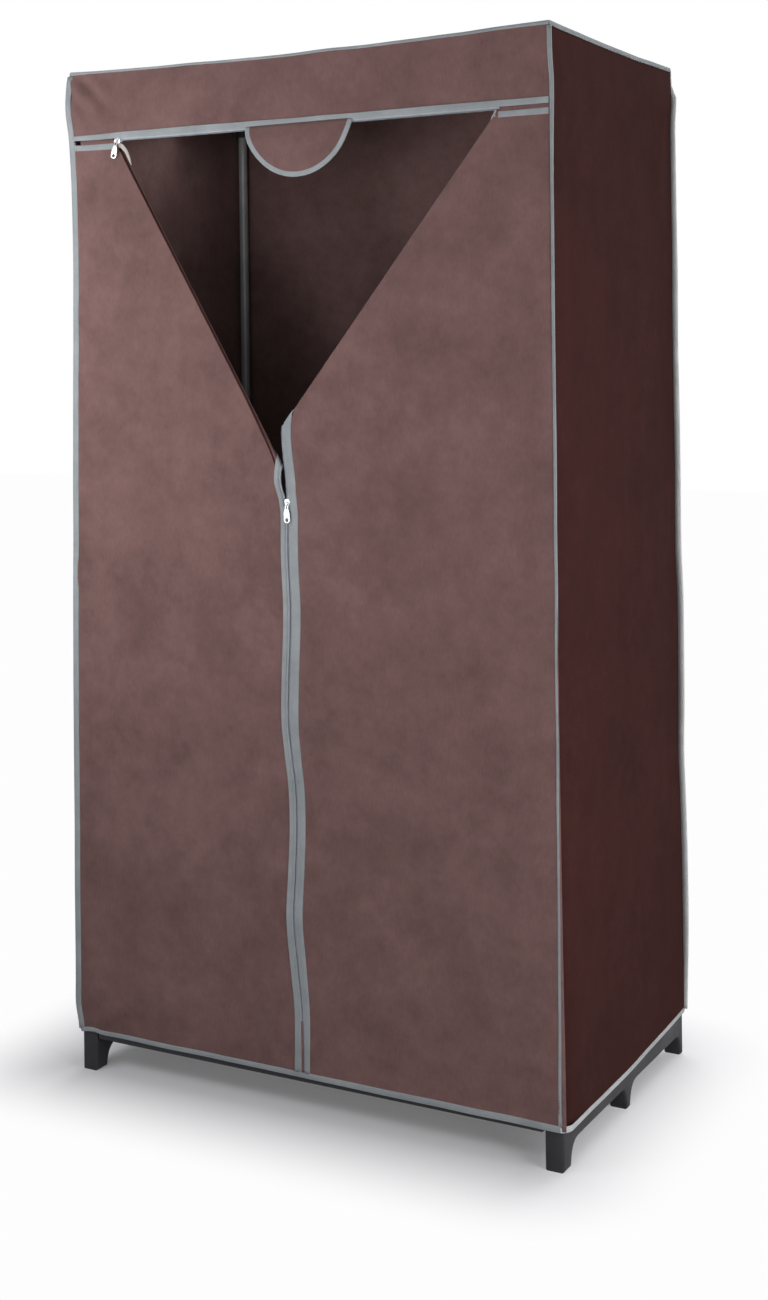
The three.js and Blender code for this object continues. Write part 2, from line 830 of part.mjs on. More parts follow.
// The stitched lap that joins a flap's cloth to its tapes.
function flapSeam(side, fold) {
  const lap = (tapeReach + bandReach) / 2;
  const z = zipHeight - lap;
  const level = box(
    Math.min(fold.top.x, zipX(z) + side * lap),
    Math.max(fold.top.x, zipX(z) + side * lap),
    -halfDepth + bindingGauge / 2,
    innerFront,
    z - bindingGauge,
    z,
  );
  return solidOf(level);
}

for (const [name, side] of sides) {
  const fold = folds[name];
  const hinge = new THREE.Group();
  hinge.position.copy(fold.top);
  hinge.quaternion.setFromAxisAngle(fold.axis, -foldAngle);
  wardrobe.add(hinge);
  const cloth = geometryOf(closedFlap(name, side));
  const flap = addPiece(`corner_flap_${name}`, cloth, colours.cloth, hinge);
  flap.position.copy(fold.top).negate();
}

// Half-round tab that hangs from the header seam

const tabRoot = headerEdge + headerBand;

// A point of the tab: across and drop are its place on the flat half-round, before it curls forwards.
function tabPoint(across, drop, inner) {
  const curl = tabStandOff * Math.sin((Math.PI / 2) * Math.min(1, drop / tabCurlLength));
  const front = -halfDepth - seamGap - clothGauge - curl;
  return new THREE.Vector3(tabCentreX + across, front + inner * clothGauge, tabRoot - drop);
}

const tabCloth = (u, v, inner) => {
  const angle = (v * tabArcShare * Math.PI) / 2;
  const reach = (tabHalfWidth - tabBindingWidth) * Math.cos(angle);
  const drop = (tabDrop - tabBindingWidth) * Math.sin(angle);
  return tabPoint(THREE.MathUtils.lerp(-reach, reach, u), drop, inner);
};
addPiece("centre_tab", clothSheet(2, 2 * roundSides, tabCloth), colours.cloth);

// The binding round the tab's curved edge.
const tabEdge = (u, v, inner) => {
  const inset = v * (tabBindingWidth - seamGap);
  const across = -(tabHalfWidth - inset) * Math.cos(Math.PI * u);
  return tabPoint(across, (tabDrop - inset) * Math.sin(Math.PI * u), inner);
};
addPiece("tab_binding", clothSheet(4 * roundSides, 1, tabEdge), colours.binding);

// Zip sliders with their pulls

// A slider: two plates joined by a post, and two lugs with a pin in front. It is centred on the zip.
function slider(width, height, postWidth, postHeight) {
  const front = -halfDepth - runGap;
  const back = -halfDepth + coilGauge + runGap;
  const [x, z] = [width / 2, height / 2];
  const [cutX, cutZ] = [x * plateStraightShare, z * plateStraightShare];
  const plate = outline([
    [-x, -cutZ],
    [-cutX, -z],
    [cutX, -z],
    [x, -cutZ],
    [x, cutZ],
    [cutX, z],
    [-cutX, z],
    [-x, cutZ],
  ]);
  const pinY = front - sliderPlate - pinStandOff;
  const lugX = pullHeadLength / 2 + runGap;
  const pieces = [
    plateFront(plate, front - sliderPlate, front),
    plateFront(plate, back, back + sliderPlate),
    box(
      -postWidth / 2,
      postWidth / 2,
      front - sliderPlate / 2,
      back + sliderPlate / 2,
      -postHeight / 2,
      postHeight / 2,
    ),
    rod(
      pinRadius,
      new THREE.Vector3(-lugX - lugGauge, pinY, 0),
      new THREE.Vector3(lugX + lugGauge, pinY, 0),
    ),
  ];
  const lugHalf = 2 * pinRadius;
  for (const [, side] of sides) {
    const lug = [side * lugX, side * (lugX + lugGauge)].sort((a, b) => a - b);
    pieces.push(box(...lug, pinY - lugHalf, front - sliderPlate / 2, -lugHalf, lugHalf));
  }
  return geometryOf(pieces.map(solidOf).reduce((a, b) => a.add(b)));
}

// A pull: an eye round the slider's pin and a flat tongue with a hole, hanging straight down.
function pull() {
  const eyeRadius = pinRadius + runGap + pullEyeWall;
  const pinY = -halfDepth - runGap - sliderPlate - pinStandOff;
  const eyeHalf = pullHeadLength / 2;
  const eye = rod(
    eyeRadius,
    new THREE.Vector3(-eyeHalf, pinY, 0),
    new THREE.Vector3(eyeHalf, pinY, 0),
    pinRadius + runGap,
  );
  const end = -pullLength;
  const halfPull = [
    [pullHeadLength / 2, -pinRadius - runGap - pullEyeWall / 2],
    [pullNeck / 2, end * pullNeckShare],
    [pullWidth / 2, end * pullShoulderShare],
    [pullWidth / 2, end + pullWidth / 2],
    [(pullWidth / 2) * pullTipShare, end],
  ];
  const otherHalf = halfPull.map(([x, z]) => [-x, z]).reverse();
  const tongue = outline([...halfPull, ...otherHalf]);
  const holeCentre = end + pullWidth / 2;
  tongue.holes.push(new THREE.Path().absarc(0, holeCentre, pullHole / 2, 0, 2 * Math.PI));
  const plate = new THREE.ExtrudeGeometry(tongue, {
    depth: pullGauge,
    bevelEnabled: false,
    curveSegments: holeSteps,
  });
  plate.rotateX(Math.PI / 2).translate(0, pinY + pullGauge / 2, 0);
  return geometryOf(solidOf(eye).add(solidOf(plate)));
}

const sliderPlaces = [
  ["cross", parkX("left"), zipHeight, sliderLong, sliderAcross, 2 * sliderPost, sliderPost],
  ["front", zipX(sliderRestHeight), sliderRestHeight, sliderAcross, sliderLong, sliderPost, 2 * sliderPost],
];
for (const [name, x, z, width, height, postWidth, postHeight] of sliderPlaces) {
  const carrier = new THREE.Group();
  carrier.position.set(x, 0, z);
  wardrobe.add(carrier);
  addPiece(`slider_${name}`, slider(width, height, postWidth, postHeight), colours.zinc, carrier);
  addPiece(`pull_${name}`, pull(), colours.zinc, carrier);
}

export default root;
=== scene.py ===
# %% [markdown]
# # A portable fabric wardrobe
# A zipped cloth cover hangs on a steel tube frame that stands in a moulded plastic base. The packed
# model gives every size. This file gives the wardrobe its cloth, its bindings, its zips and its finish.

# %% Load the frame
import json
import math
import bmesh
import bpy
from mathutils import Matrix, Vector, noise


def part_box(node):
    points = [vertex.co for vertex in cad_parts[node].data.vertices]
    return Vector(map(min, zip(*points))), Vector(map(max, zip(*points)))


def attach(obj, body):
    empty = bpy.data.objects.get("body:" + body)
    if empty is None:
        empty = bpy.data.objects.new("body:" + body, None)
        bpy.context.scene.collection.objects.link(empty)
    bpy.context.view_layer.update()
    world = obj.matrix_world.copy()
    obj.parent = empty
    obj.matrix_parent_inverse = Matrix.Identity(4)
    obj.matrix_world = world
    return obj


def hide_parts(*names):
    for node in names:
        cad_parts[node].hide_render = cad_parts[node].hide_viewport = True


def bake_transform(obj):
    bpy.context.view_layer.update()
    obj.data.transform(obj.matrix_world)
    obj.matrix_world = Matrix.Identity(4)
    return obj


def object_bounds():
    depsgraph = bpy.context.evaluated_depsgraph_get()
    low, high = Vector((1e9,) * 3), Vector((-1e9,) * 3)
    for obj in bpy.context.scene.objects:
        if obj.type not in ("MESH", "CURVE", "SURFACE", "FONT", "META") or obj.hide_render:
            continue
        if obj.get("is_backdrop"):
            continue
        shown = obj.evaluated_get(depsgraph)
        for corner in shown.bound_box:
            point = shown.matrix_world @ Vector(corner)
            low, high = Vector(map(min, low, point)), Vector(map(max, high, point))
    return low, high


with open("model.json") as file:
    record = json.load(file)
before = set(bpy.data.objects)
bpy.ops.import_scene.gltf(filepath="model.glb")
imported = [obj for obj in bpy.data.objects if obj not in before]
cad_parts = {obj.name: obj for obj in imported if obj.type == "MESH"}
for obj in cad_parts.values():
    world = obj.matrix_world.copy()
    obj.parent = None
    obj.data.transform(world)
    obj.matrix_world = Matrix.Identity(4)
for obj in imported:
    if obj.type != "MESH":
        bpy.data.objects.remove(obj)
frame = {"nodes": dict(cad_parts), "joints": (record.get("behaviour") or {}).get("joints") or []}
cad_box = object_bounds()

MM = 0.001

# %% [markdown]
# The pieces are drawn in millimetres, on the cover's own axes: X to the right, Y to the back, Z up,
# with Y at zero in the middle of the cover. The frame says where the cover's outside lies.

# %% Sizes taken from the frame
cover_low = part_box("corner_binding_front_left")[0]
cover_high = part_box("corner_binding_rear_right")[1]
HALF_WIDTH = (cover_high.x - cover_low.x) / 2 / MM
HALF_DEPTH = (cover_high.y - cover_low.y) / 2 / MM
MIDDLE_Y = (cover_high.y + cover_low.y) / 2
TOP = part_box("top_binding")[1].z / MM
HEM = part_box("hem_binding")[0].z / MM
BINDING = 10
CLOTH = 0.9
SKIN = 1.2
SIDES = (("left", -1), ("right", 1))


def joint(name):
    return next(j for j in frame["joints"] if j["name"] == name)


def front_place(name):
    """Where a joint lies as seen from the front: (x, z) in millimetres."""
    place = joint(name)["pos_m"]
    return place[0] / MM, place[2] / MM


def at(x, y, z):
    """A place in millimetres on the cover's axes, as a point of the frame in metres."""
    return Vector((x * MM, y * MM + MIDDLE_Y, z * MM))


def cover_box(node):
    """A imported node's two corners in millimetres on the cover's axes, as lists."""
    return [[c.x / MM, (c.y - MIDDLE_Y) / MM, c.z / MM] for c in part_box(node)]


def placed(name, data):
    """A new object at the origin, in the scene."""
    thing = bpy.data.objects.new(name, data)
    bpy.context.scene.collection.objects.link(thing)
    return thing


print("cover %.0f x %.0f, from %.0f to %.0f" % (2 * HALF_WIDTH, 2 * HALF_DEPTH, HEM, TOP))

# %% [markdown]
# ## The camera
# The photograph was taken from the right, a little above half height, with the camera level. The frame
# of the picture is cut off-centre, which a lens shift gives without tilting the upright edges.

# %% Camera
CAMERA_PLACE = (1414, -2557, 1132)
CAMERA_YAW = math.radians(28.68)
CAMERA_ROLL = math.radians(-0.741)

camera_data = bpy.data.cameras.new("camera")
camera_data.sensor_fit = "VERTICAL"
camera_data.sensor_height = 36
camera_data.lens = 50.05
camera_data.shift_y = -0.2232
camera_data.clip_end = 50
camera = placed("camera", camera_data)
forward = Vector((-math.sin(CAMERA_YAW), math.cos(CAMERA_YAW), 0))
level = Vector((math.cos(CAMERA_YAW), math.sin(CAMERA_YAW), 0))
upright = Vector((0, 0, 1))
across = level * math.cos(CAMERA_ROLL) + upright * math.sin(CAMERA_ROLL)
up = upright * math.cos(CAMERA_ROLL) - level * math.sin(CAMERA_ROLL)
turn = Matrix((across, up, -forward)).transposed().to_4x4()
camera.matrix_world = Matrix.Translation(at(*CAMERA_PLACE)) @ turn
bpy.context.scene.camera = camera
print("camera at", [round(c, 3) for c in camera.location])

# %% [markdown]
# ## Small tools for materials
# A colour is written as it looks on a screen, and turned to the linear values that light works with.
# One function adds a node, sets it up and links it, so each material reads as a short list.


# %% Node tools
def linear(hex_colour):
    """An sRGB hex colour as linear red, green, blue and alpha."""
    values = [int(hex_colour[i:i + 2], 16) / 255 for i in (1, 3, 5)]
    return [v / 12.92 if v <= 0.04045 else ((v + 0.055) / 1.055) ** 2.4 for v in values] + [1]


def add(tree, kind, inputs=(), **settings):
    """A new node with its settings; inputs holds values, or sockets to link, by name or number."""
    node = tree.nodes.new(kind)
    for key, value in settings.items():
        setattr(node, key, value)
    fill(tree, node, inputs)
    return node


def fill(tree, node, inputs):
    """Sets a node's inputs to values, or links sockets to them."""
    for key, value in dict(inputs).items():
        if isinstance(value, bpy.types.NodeSocket):
            tree.links.new(value, node.inputs[key])
        else:
            node.inputs[key].default_value = value


def new_material(name):
    """An empty material with its output, its shader and the object's own coordinates."""
    material = bpy.data.materials.new(name)
    material.use_nodes = True
    tree = material.node_tree
    tree.nodes.clear()
    shader = add(tree, "ShaderNodeBsdfPrincipled")
    add(tree, "ShaderNodeOutputMaterial", {"Surface": shader.outputs[0]})
    place = add(tree, "ShaderNodeTexCoord").outputs["Object"]
    return material, tree, shader, place


def grain(tree, place, size, detail=3, rough=0.55, stretch=(1, 1, 1), shift=(0, 0, 0)):
    """Noise whose blobs are about size millimetres wide, longer where stretch is above 1."""
    inverse = [1 / s for s in stretch]
    moved = add(tree, "ShaderNodeMapping", {"Vector": place, "Scale": inverse, "Location": shift})
    inputs = {"Vector": moved.outputs[0], "Scale": 1 / (size * MM), "Detail": detail, "Roughness": rough}
    return add(tree, "ShaderNodeTexNoise", inputs).outputs["Fac"]


def blend_colours(tree, factor, low, high, start=0.3, end=0.7):
    """Two hex colours mixed by a factor that runs from start to end."""
    ramp = add(tree, "ShaderNodeValToRGB", {"Fac": factor})
    ramp.color_ramp.elements[0].position = start
    ramp.color_ramp.elements[1].position = end
    ramp.color_ramp.elements[0].color = linear(low)
    ramp.color_ramp.elements[1].color = linear(high)
    return ramp.outputs["Color"]


def tint(tree, factor, colour, dark, light):
    """A colour made darker or lighter by a factor around one half."""
    level = add(tree, "ShaderNodeMapRange", {"Value": factor, "From Min": 0.25, "From Max": 0.75,
                                             "To Min": dark, "To Max": light}).outputs[0]
    return add(tree, "ShaderNodeVectorMath", {0: colour, 1: level}, operation="MULTIPLY").outputs[0]


def surface(tree, shader, colour, **values):
    """Gives the shader its colour and its other inputs; _ in a name stands for a space."""
    named = {key.replace("_", " "): value for key, value in values.items()}
    fill(tree, shader, {"Base Color": colour, **named})


def relief(tree, shader, height, depth):
    """Bump of a given depth in millimetres."""
    bump = add(tree, "ShaderNodeBump", {"Height": height, "Distance": depth * MM, "Strength": 1})
    tree.links.new(bump.outputs[0], shader.inputs["Normal"])


# %% [markdown]
# ## The cover cloth
# The cover is spunbond non-woven polypropylene: fine fibres laid at random and pressed together by hot
# dots. It is dull, a little cloudy where the fibres lie thicker, and has a faint pale bloom at low
# angles. The clouds are noise at two sizes, the fibres are fine stretched noise, and the dots are a grid
# of small pits. The tones are set from the photograph: with the front's tone the sides come out too
# bright, so the sides, the back and the floor cloth take a darker copy with less bloom, which is painted
# shade. With that darker tone the inside comes out too dark, so it has its own, near the front's.


# %% Non-woven polypropylene
def nonwoven(name, dark, light, bloom=0.15, gloss=0.12):
    material, tree, shader, place = new_material(name)
    clouds = grain(tree, place, 120, detail=4, rough=0.6)
    patches = grain(tree, place, 26, detail=5, rough=0.65, shift=(0.3, 0.1, 0.7))
    fibres = grain(tree, place, 2.4, detail=2, stretch=(1, 1, 4))
    both = add(tree, "ShaderNodeMix", {"Factor": 0.4, 2: clouds, 3: patches}).outputs[0]
    colour = blend_colours(tree, both, dark, light, 0.36, 0.64)
    colour = tint(tree, fibres, colour, 0.93, 1.07)
    surface(tree, shader, colour, Roughness=0.88, Specular_IOR_Level=gloss, Sheen_Weight=bloom,
            Sheen_Roughness=0.45)
    # The real pressed dots stand 1 mm apart. They are drawn 3 mm apart, so that a near view shows them.
    dots = add(tree, "ShaderNodeTexVoronoi", {"Vector": place, "Scale": 1 / (3 * MM), "Randomness": 0.15})
    pits = add(tree, "ShaderNodeMapRange", {"Value": dots.outputs["Distance"], "From Min": 0.1,
                                            "From Max": 0.45}).outputs[0]
    height = add(tree, "ShaderNodeMix", {"Factor": 0.35, 2: pits, 3: fibres}).outputs[0]
    soft = add(tree, "ShaderNodeMath", {0: height, 1: patches}, operation="ADD").outputs[0]
    relief(tree, shader, soft, 0.22)
    return material


cloth_front = nonwoven("nonwoven polypropylene, front", "#6b5250", "#806361")
# A darker copy of the same cloth with less bloom, which is painted shade: for the sides, the back, the
# floor cloth and a band of the left roll.
cloth_painted_shade = nonwoven("nonwoven polypropylene, sides", "#3e2523", "#482b29", bloom=0.02, gloss=0.02)
cloth_inner = nonwoven("nonwoven polypropylene, inside", "#66504d", "#7c6260", bloom=0.04, gloss=0.04)

# %% [markdown]
# ## The bindings and the zip
# Every edge is bound with a folded grey polyester tape. Its weave runs across the tape, finer than the
# picture shows, and its stitching pulls it in a little. The zip is a nylon coil on a woven tape: the
# tape has close ridges along its length, and the coil is smoother and catches the light. The hem's right
# run and the rear right binding are paler than the rest in the photograph, so they take a paler copy of
# the tape, which is painted light.


# %% Polyester binding, zip tape and nylon coil
def woven_tape(name, dark, light, thread=1.6, rough=0.72):
    material, tree, shader, place = new_material(name)
    soil = grain(tree, place, 45, detail=3)
    colour = blend_colours(tree, soil, dark, light)
    # Threads are half a millimetre apart. They are drawn at the size of thread, so that they show.
    weave = add(tree, "ShaderNodeTexVoronoi", {"Vector": place, "Scale": 1 / (thread * MM),
                                               "Randomness": 0.1}, distance="CHEBYCHEV")
    threads = weave.outputs["Distance"]
    colour = tint(tree, threads, colour, 1.06, 0.9)
    surface(tree, shader, colour, Roughness=rough, Sheen_Weight=0.2)
    relief(tree, shader, threads, 0.2)
    return material


binding_tape = woven_tape("woven polyester binding", "#868c90", "#999ea2")
# A paler copy of the same tape, which is painted light: for the hem's right run and the rear right
# binding.
binding_painted_light = woven_tape("woven polyester binding, paler lot", "#c4c7c8", "#d8dbdc")
zip_weave = woven_tape("woven zip tape", "#959ba2", "#a6acb3", thread=1.1, rough=0.6)
tape_end_weave = woven_tape("woven zip tape, inner face", "#a29c98", "#bdb6b0", thread=1.1, rough=0.6)


def nylon(name, colour):
    material, tree, shader, place = new_material(name)
    wear = grain(tree, place, 8)
    surface(tree, shader, tint(tree, wear, linear(colour)[:3], 0.92, 1.08), Roughness=0.38, IOR=1.53)
    relief(tree, shader, wear, 0.03)
    return material


coil_nylon = nylon("extruded nylon coil", "#989ea5")
thread_spun = nylon("spun polyester thread", "#9da2a5")

# %% [markdown]
# ## Plastic and metal
# The base and the connectors are moulded polypropylene, nearly black, with a fine spark-eroded grain.
# The tubes are steel with a grey powder coat, rolled and baked. The sliders and pulls are cast zinc,
# nickel plated, bright with soft tumbling marks.


# %% Moulded plastic, coated steel and plated zinc
def moulded(name, dark, light, rough):
    material, tree, shader, place = new_material(name)
    grit = grain(tree, place, 0.9, detail=2)
    handling = grain(tree, place, 40, detail=4)
    colour = blend_colours(tree, handling, dark, light)
    shine = add(tree, "ShaderNodeMapRange", {"Value": handling, "From Min": 0.3, "From Max": 0.7,
                                             "To Min": rough - 0.07, "To Max": rough + 0.09})
    surface(tree, shader, tint(tree, grit, colour, 0.9, 1.1), Roughness=shine.outputs[0], IOR=1.49,
            Specular_IOR_Level=0.18)
    relief(tree, shader, grit, 0.06)
    return material


base_plastic = moulded("moulded polypropylene", "#2d2d30", "#39393c", 0.5)


def powder_coat(name):
    material, tree, shader, place = new_material(name)
    peel = grain(tree, place, 1.4, detail=2)
    colour = blend_colours(tree, grain(tree, place, 60), "#8f9294", "#a0a3a5")
    surface(tree, shader, tint(tree, peel, colour, 0.96, 1.04), Roughness=0.34, Coat_Weight=0.3)
    relief(tree, shader, peel, 0.05)
    return material


tube_steel = powder_coat("powder coated steel tube")


def plated(name):
    material, tree, shader, place = new_material(name)
    marks = grain(tree, place, 1.2, detail=4)
    colour = blend_colours(tree, marks, "#aeb0b3", "#d4d6d8")
    shine = add(tree, "ShaderNodeMapRange", {"Value": marks, "To Min": 0.18, "To Max": 0.42})
    surface(tree, shader, colour, Metallic=1, Roughness=shine.outputs[0])
    relief(tree, shader, marks, 0.02)
    return material


plated_zinc = plated("nickel plated zinc casting")
print("materials:", len(bpy.data.materials))

# %% [markdown]
# ## Small tools for shapes
# Three makers cover nearly everything here. A sheet is a grid that a function puts in place. A sweep
# carries a flat outline along a path, for bindings and tapes. A turned ring spins a profile round an
# axis, for tubes and sleeves. Each makes one plain mesh whose points hold its place. A plate and a block
# have rounded edges.


# %% Mesh makers
def mesh_object(name, points, faces, material):
    """A new object at the origin from points in metres."""
    mesh = bpy.data.meshes.new(name)
    mesh.from_pydata([tuple(p) for p in points], [], faces)
    mesh.materials.append(material)
    mesh.validate()
    mesh.polygons.foreach_set("use_smooth", [True] * len(mesh.polygons))
    return placed(name, mesh)


def mesh_from(name, work, *materials):
    """A finished edit as a new mesh with its materials."""
    mesh = bpy.data.meshes.new(name)
    work.to_mesh(mesh)
    work.free()
    for material in materials:
        mesh.materials.append(material)
    return mesh


def tube_faces(count, n, closed=False):
    """The faces between count stations of n points each, with an end at each side unless it is closed."""
    faces = []
    for s in range(count if closed else count - 1):
        t = (s + 1) % count
        faces += [(s * n + k, s * n + (k + 1) % n, t * n + (k + 1) % n, t * n + k) for k in range(n)]
    if not closed:
        faces += [tuple(range(n)), tuple(range((count - 1) * n, count * n))]
    return faces


def evaluated_mesh(thing):
    return bpy.data.meshes.new_from_object(thing.evaluated_get(bpy.context.evaluated_depsgraph_get()))


def baked(thing):
    """Turns an object's modifiers into plain mesh."""
    made = evaluated_mesh(thing)
    thing.modifiers.clear()
    old = thing.data
    thing.data = made
    if old.users == 0:
        bpy.data.meshes.remove(old)
    made.name = thing.name
    return thing


def outwards(thing):
    """Joins double points and turns every face outwards."""
    work = bmesh.new()
    work.from_mesh(thing.data)
    bmesh.ops.remove_doubles(work, verts=work.verts, dist=1e-6)
    bmesh.ops.recalc_face_normals(work, faces=work.faces)
    work.to_mesh(thing.data)
    work.free()
    return thing


def joined(name, things):
    """Several objects of one body as one mesh."""
    work = bmesh.new()
    materials = []
    for thing in things:
        start = len(work.faces)
        work.from_mesh(thing.data)
        work.faces.ensure_lookup_table()
        for face in work.faces[start:]:
            material = thing.data.materials[face.material_index]
            if material not in materials:
                materials.append(material)
            face.material_index = materials.index(material)
    mesh = mesh_from(name, work, *materials)
    for thing in things:
        bpy.data.objects.remove(thing)
    return placed(name, mesh)


def sheet_mesh(name, columns, rows, place, material, gauge=CLOTH):
    """A sheet with thickness. place(u, v) gives a point of its outer face, in metres."""
    points = [place(i / columns, j / rows) for j in range(rows + 1) for i in range(columns + 1)]
    faces = []
    for j in range(rows):
        for i in range(columns):
            a = j * (columns + 1) + i
            faces.append((a, a + 1, a + columns + 2, a + columns + 1))
    return thickened(mesh_object(name, points, faces, material), gauge)


def lined(thing, inwards):
    """Gives the faces of a wall that look into the cabinet the inside's material."""
    mesh = outwards(thing).data
    mesh.materials.append(cloth_inner)
    mesh.polygons.foreach_set("material_index", [int(f.normal.dot(inwards) > 0.3) for f in mesh.polygons])
    return thing


def thickened(thing, gauge):
    solid = thing.modifiers.new("gauge", "SOLIDIFY")
    solid.thickness = gauge * MM
    solid.offset = -1
    return baked(thing)


def sweep(name, stations, section, material, closed=False):
    """Carries a closed outline along stations of (centre, across, outwards), all in metres."""
    points = [c + a * (p * MM) + o * (q * MM) for c, a, o in stations for p, q in section]
    return outwards(mesh_object(name, points, tube_faces(len(stations), len(section), closed), material))


def turned(name, start, axis, profile, material, steps=32):
    """Spins a closed profile of (radius, distance along the axis) in millimetres."""
    axis = Vector(axis).normalized()
    side = axis.orthogonal().normalized()
    other = axis.cross(side)
    points = []
    for s in range(steps):
        angle = 2 * math.pi * s / steps
        way = side * math.cos(angle) + other * math.sin(angle)
        points += [start + way * (r * MM) + axis * (h * MM) for r, h in profile]
    ring_faces = tube_faces(steps, len(profile), closed=True)
    return rounded_look(outwards(mesh_object(name, points, ring_faces, material)))


def plate(name, outline, gauge, edge, place, material, holes=(), steps=3):
    """A flat outline in millimetres, with holes and rounded edges. place turns (p, q, h) into a point."""
    curve = bpy.data.curves.new(name, "CURVE")
    curve.dimensions = "2D"
    curve.fill_mode = "BOTH"
    curve.extrude = gauge / 2 - edge
    curve.bevel_depth = edge
    curve.bevel_resolution = steps
    curve.offset = -edge
    for loop in [outline, *holes]:
        spline = curve.splines.new("POLY")
        spline.points.add(len(loop) - 1)
        for point, (p, q) in zip(spline.points, loop):
            point.co = (p, q, 0, 1)
        spline.use_cyclic_u = True
    drawn = placed(name, curve)
    mesh = evaluated_mesh(drawn)
    bpy.data.objects.remove(drawn)
    for vertex in mesh.vertices:
        vertex.co = place(*vertex.co)
    mesh.materials.clear()
    mesh.materials.append(material)
    return rounded_look(outwards(placed(name, mesh)))


def rounded_look(thing, angle=35):
    """Smooth shading, with sharp edges kept where faces meet at more than an angle."""
    mesh = thing.data
    mesh.polygons.foreach_set("use_smooth", [True] * len(mesh.polygons))
    work = bmesh.new()
    work.from_mesh(mesh)
    limit = math.radians(angle)
    for edge in work.edges:
        edge.smooth = len(edge.link_faces) < 2 or edge.calc_face_angle(0) < limit
    work.to_mesh(mesh)
    work.free()
    return thing


def block(name, low, high, radius, material, steps=3):
    """A box between two corners in millimetres on the cover's axes, with rounded edges."""
    work = bmesh.new()
    bmesh.ops.create_cube(work, size=1)
    for vertex in work.verts:
        share = [c + 0.5 for c in vertex.co]
        vertex.co = at(*[a + (b - a) * s for a, b, s in zip(low, high, share)])
    bmesh.ops.bevel(work, geom=work.edges[:], offset=radius * MM, segments=steps, profile=0.5,
                    affect="EDGES")
    return rounded_look(placed(name, mesh_from(name, work, material)), 60)


def smooth_step(t):
    t = max(0, min(1, t))
    return t * t * (3 - 2 * t)


def through(table, t):
    """A smooth curve through a short table of (place, value)."""
    if t <= table[0][0]:
        return table[0][1]
    if t >= table[-1][0]:
        return table[-1][1]
    k = next(i for i, (place, _) in enumerate(table) if t < place)
    (a, p), (b, q) = table[k - 1], table[k]
    before, after = table[max(0, k - 2)], table[min(len(table) - 1, k + 1)]
    start = (q - before[1]) / (b - before[0]) * (b - a)
    end = (after[1] - p) / (after[0] - a) * (b - a)
    s = (t - a) / (b - a)
    return (p * (2 * s**3 - 3 * s**2 + 1) + start * (s**3 - 2 * s**2 + s) + q * (3 * s**2 - 2 * s**3)
            + end * (s**3 - s**2))


# %% [markdown]
# ## Teeth and stitches
# The coil's teeth and the stitches are one small shape set many times along a line. A node tree puts the
# shape on each point, turned along the line and facing out of the cloth, with a little seeded variety.

# %% A node tree for repeats
def repeat_tree():
    tree = bpy.data.node_groups.new("set along a line", "GeometryNodeTree")
    for name, kind in (("Points", "Geometry"), ("Shape", "Object"), ("Finish", "Material"),
                       ("Variety", "Float")):
        tree.interface.new_socket(name, in_out="INPUT", socket_type=f"NodeSocket{kind}")
    tree.interface.new_socket("Repeats", in_out="OUTPUT", socket_type="NodeSocketGeometry")
    given = add(tree, "NodeGroupInput").outputs
    way = add(tree, "GeometryNodeInputNamedAttribute", {"Name": "way"}, data_type="FLOAT_VECTOR")
    face = add(tree, "GeometryNodeInputNamedAttribute", {"Name": "face"}, data_type="FLOAT_VECTOR")
    along = add(tree, "FunctionNodeAlignRotationToVector", {"Vector": way.outputs["Attribute"]}, axis="X")
    turn = add(tree, "FunctionNodeAlignRotationToVector",
               {"Rotation": along.outputs[0], "Vector": face.outputs["Attribute"]},
               axis="Z", pivot_axis="X")
    least = add(tree, "ShaderNodeMath", {0: 1.0, 1: given["Variety"]}, operation="SUBTRACT").outputs[0]
    most = add(tree, "ShaderNodeMath", {0: 1.0, 1: given["Variety"]}, operation="ADD").outputs[0]
    sizes = add(tree, "FunctionNodeRandomValue", {"Seed": 7}, data_type="FLOAT")
    tree.links.new(least, next(s for s in sizes.inputs if s.name == "Min" and s.type == "VALUE"))
    tree.links.new(most, next(s for s in sizes.inputs if s.name == "Max" and s.type == "VALUE"))
    scale = next(s for s in sizes.outputs if s.type == "VALUE")
    shape = add(tree, "GeometryNodeObjectInfo", {"Object": given["Shape"]}).outputs["Geometry"]
    spots = add(tree, "GeometryNodeInstanceOnPoints", {"Points": given["Points"], "Instance": shape,
                                                       "Rotation": turn.outputs[0], "Scale": scale})
    real = add(tree, "GeometryNodeRealizeInstances", {0: spots.outputs[0]})
    painted = add(tree, "GeometryNodeSetMaterial", {0: real.outputs[0], "Material": given["Finish"]})
    add(tree, "NodeGroupOutput", {0: painted.outputs[0]})
    return tree


REPEATS = repeat_tree()


def small_rod(name, length, wide, high, sides=6):
    """A short rod along X with rounded ends, for one stitch or one tooth. Sizes in millimetres."""
    work = bmesh.new()
    rings = []
    for x, size in ((-0.5, 0.45), (-0.36, 1), (0.36, 1), (0.5, 0.45)):
        rings.append([work.verts.new((x * length * MM, size * wide / 2 * MM * math.cos(a),
                                      size * high / 2 * MM * math.sin(a)))
                      for a in (2 * math.pi * k / sides for k in range(sides))])
    for a, b in zip(rings, rings[1:]):
        for k in range(sides):
            work.faces.new((a[k], a[(k + 1) % sides], b[(k + 1) % sides], b[k]))
    work.faces.new(rings[0][::-1])
    work.faces.new(rings[-1])
    mesh = mesh_from(name, work)
    mesh.polygons.foreach_set("use_smooth", [True] * len(mesh.polygons))
    return bpy.data.objects.new(name, mesh)


def spaced(line, pitch, across=False, start=0.5):
    """Spots at an even pitch in millimetres along a line of (place, face): (place, way, face)."""
    spots = []
    left = pitch * MM * start
    for (a, face), (b, _) in zip(line, line[1:]):
        step = b - a
        length = step.length
        if length == 0:
            continue
        way = step / length
        while left <= length:
            spots.append((a + way * left, way.cross(face) if across else way, face))
            left += pitch * MM
        left -= length
    return spots


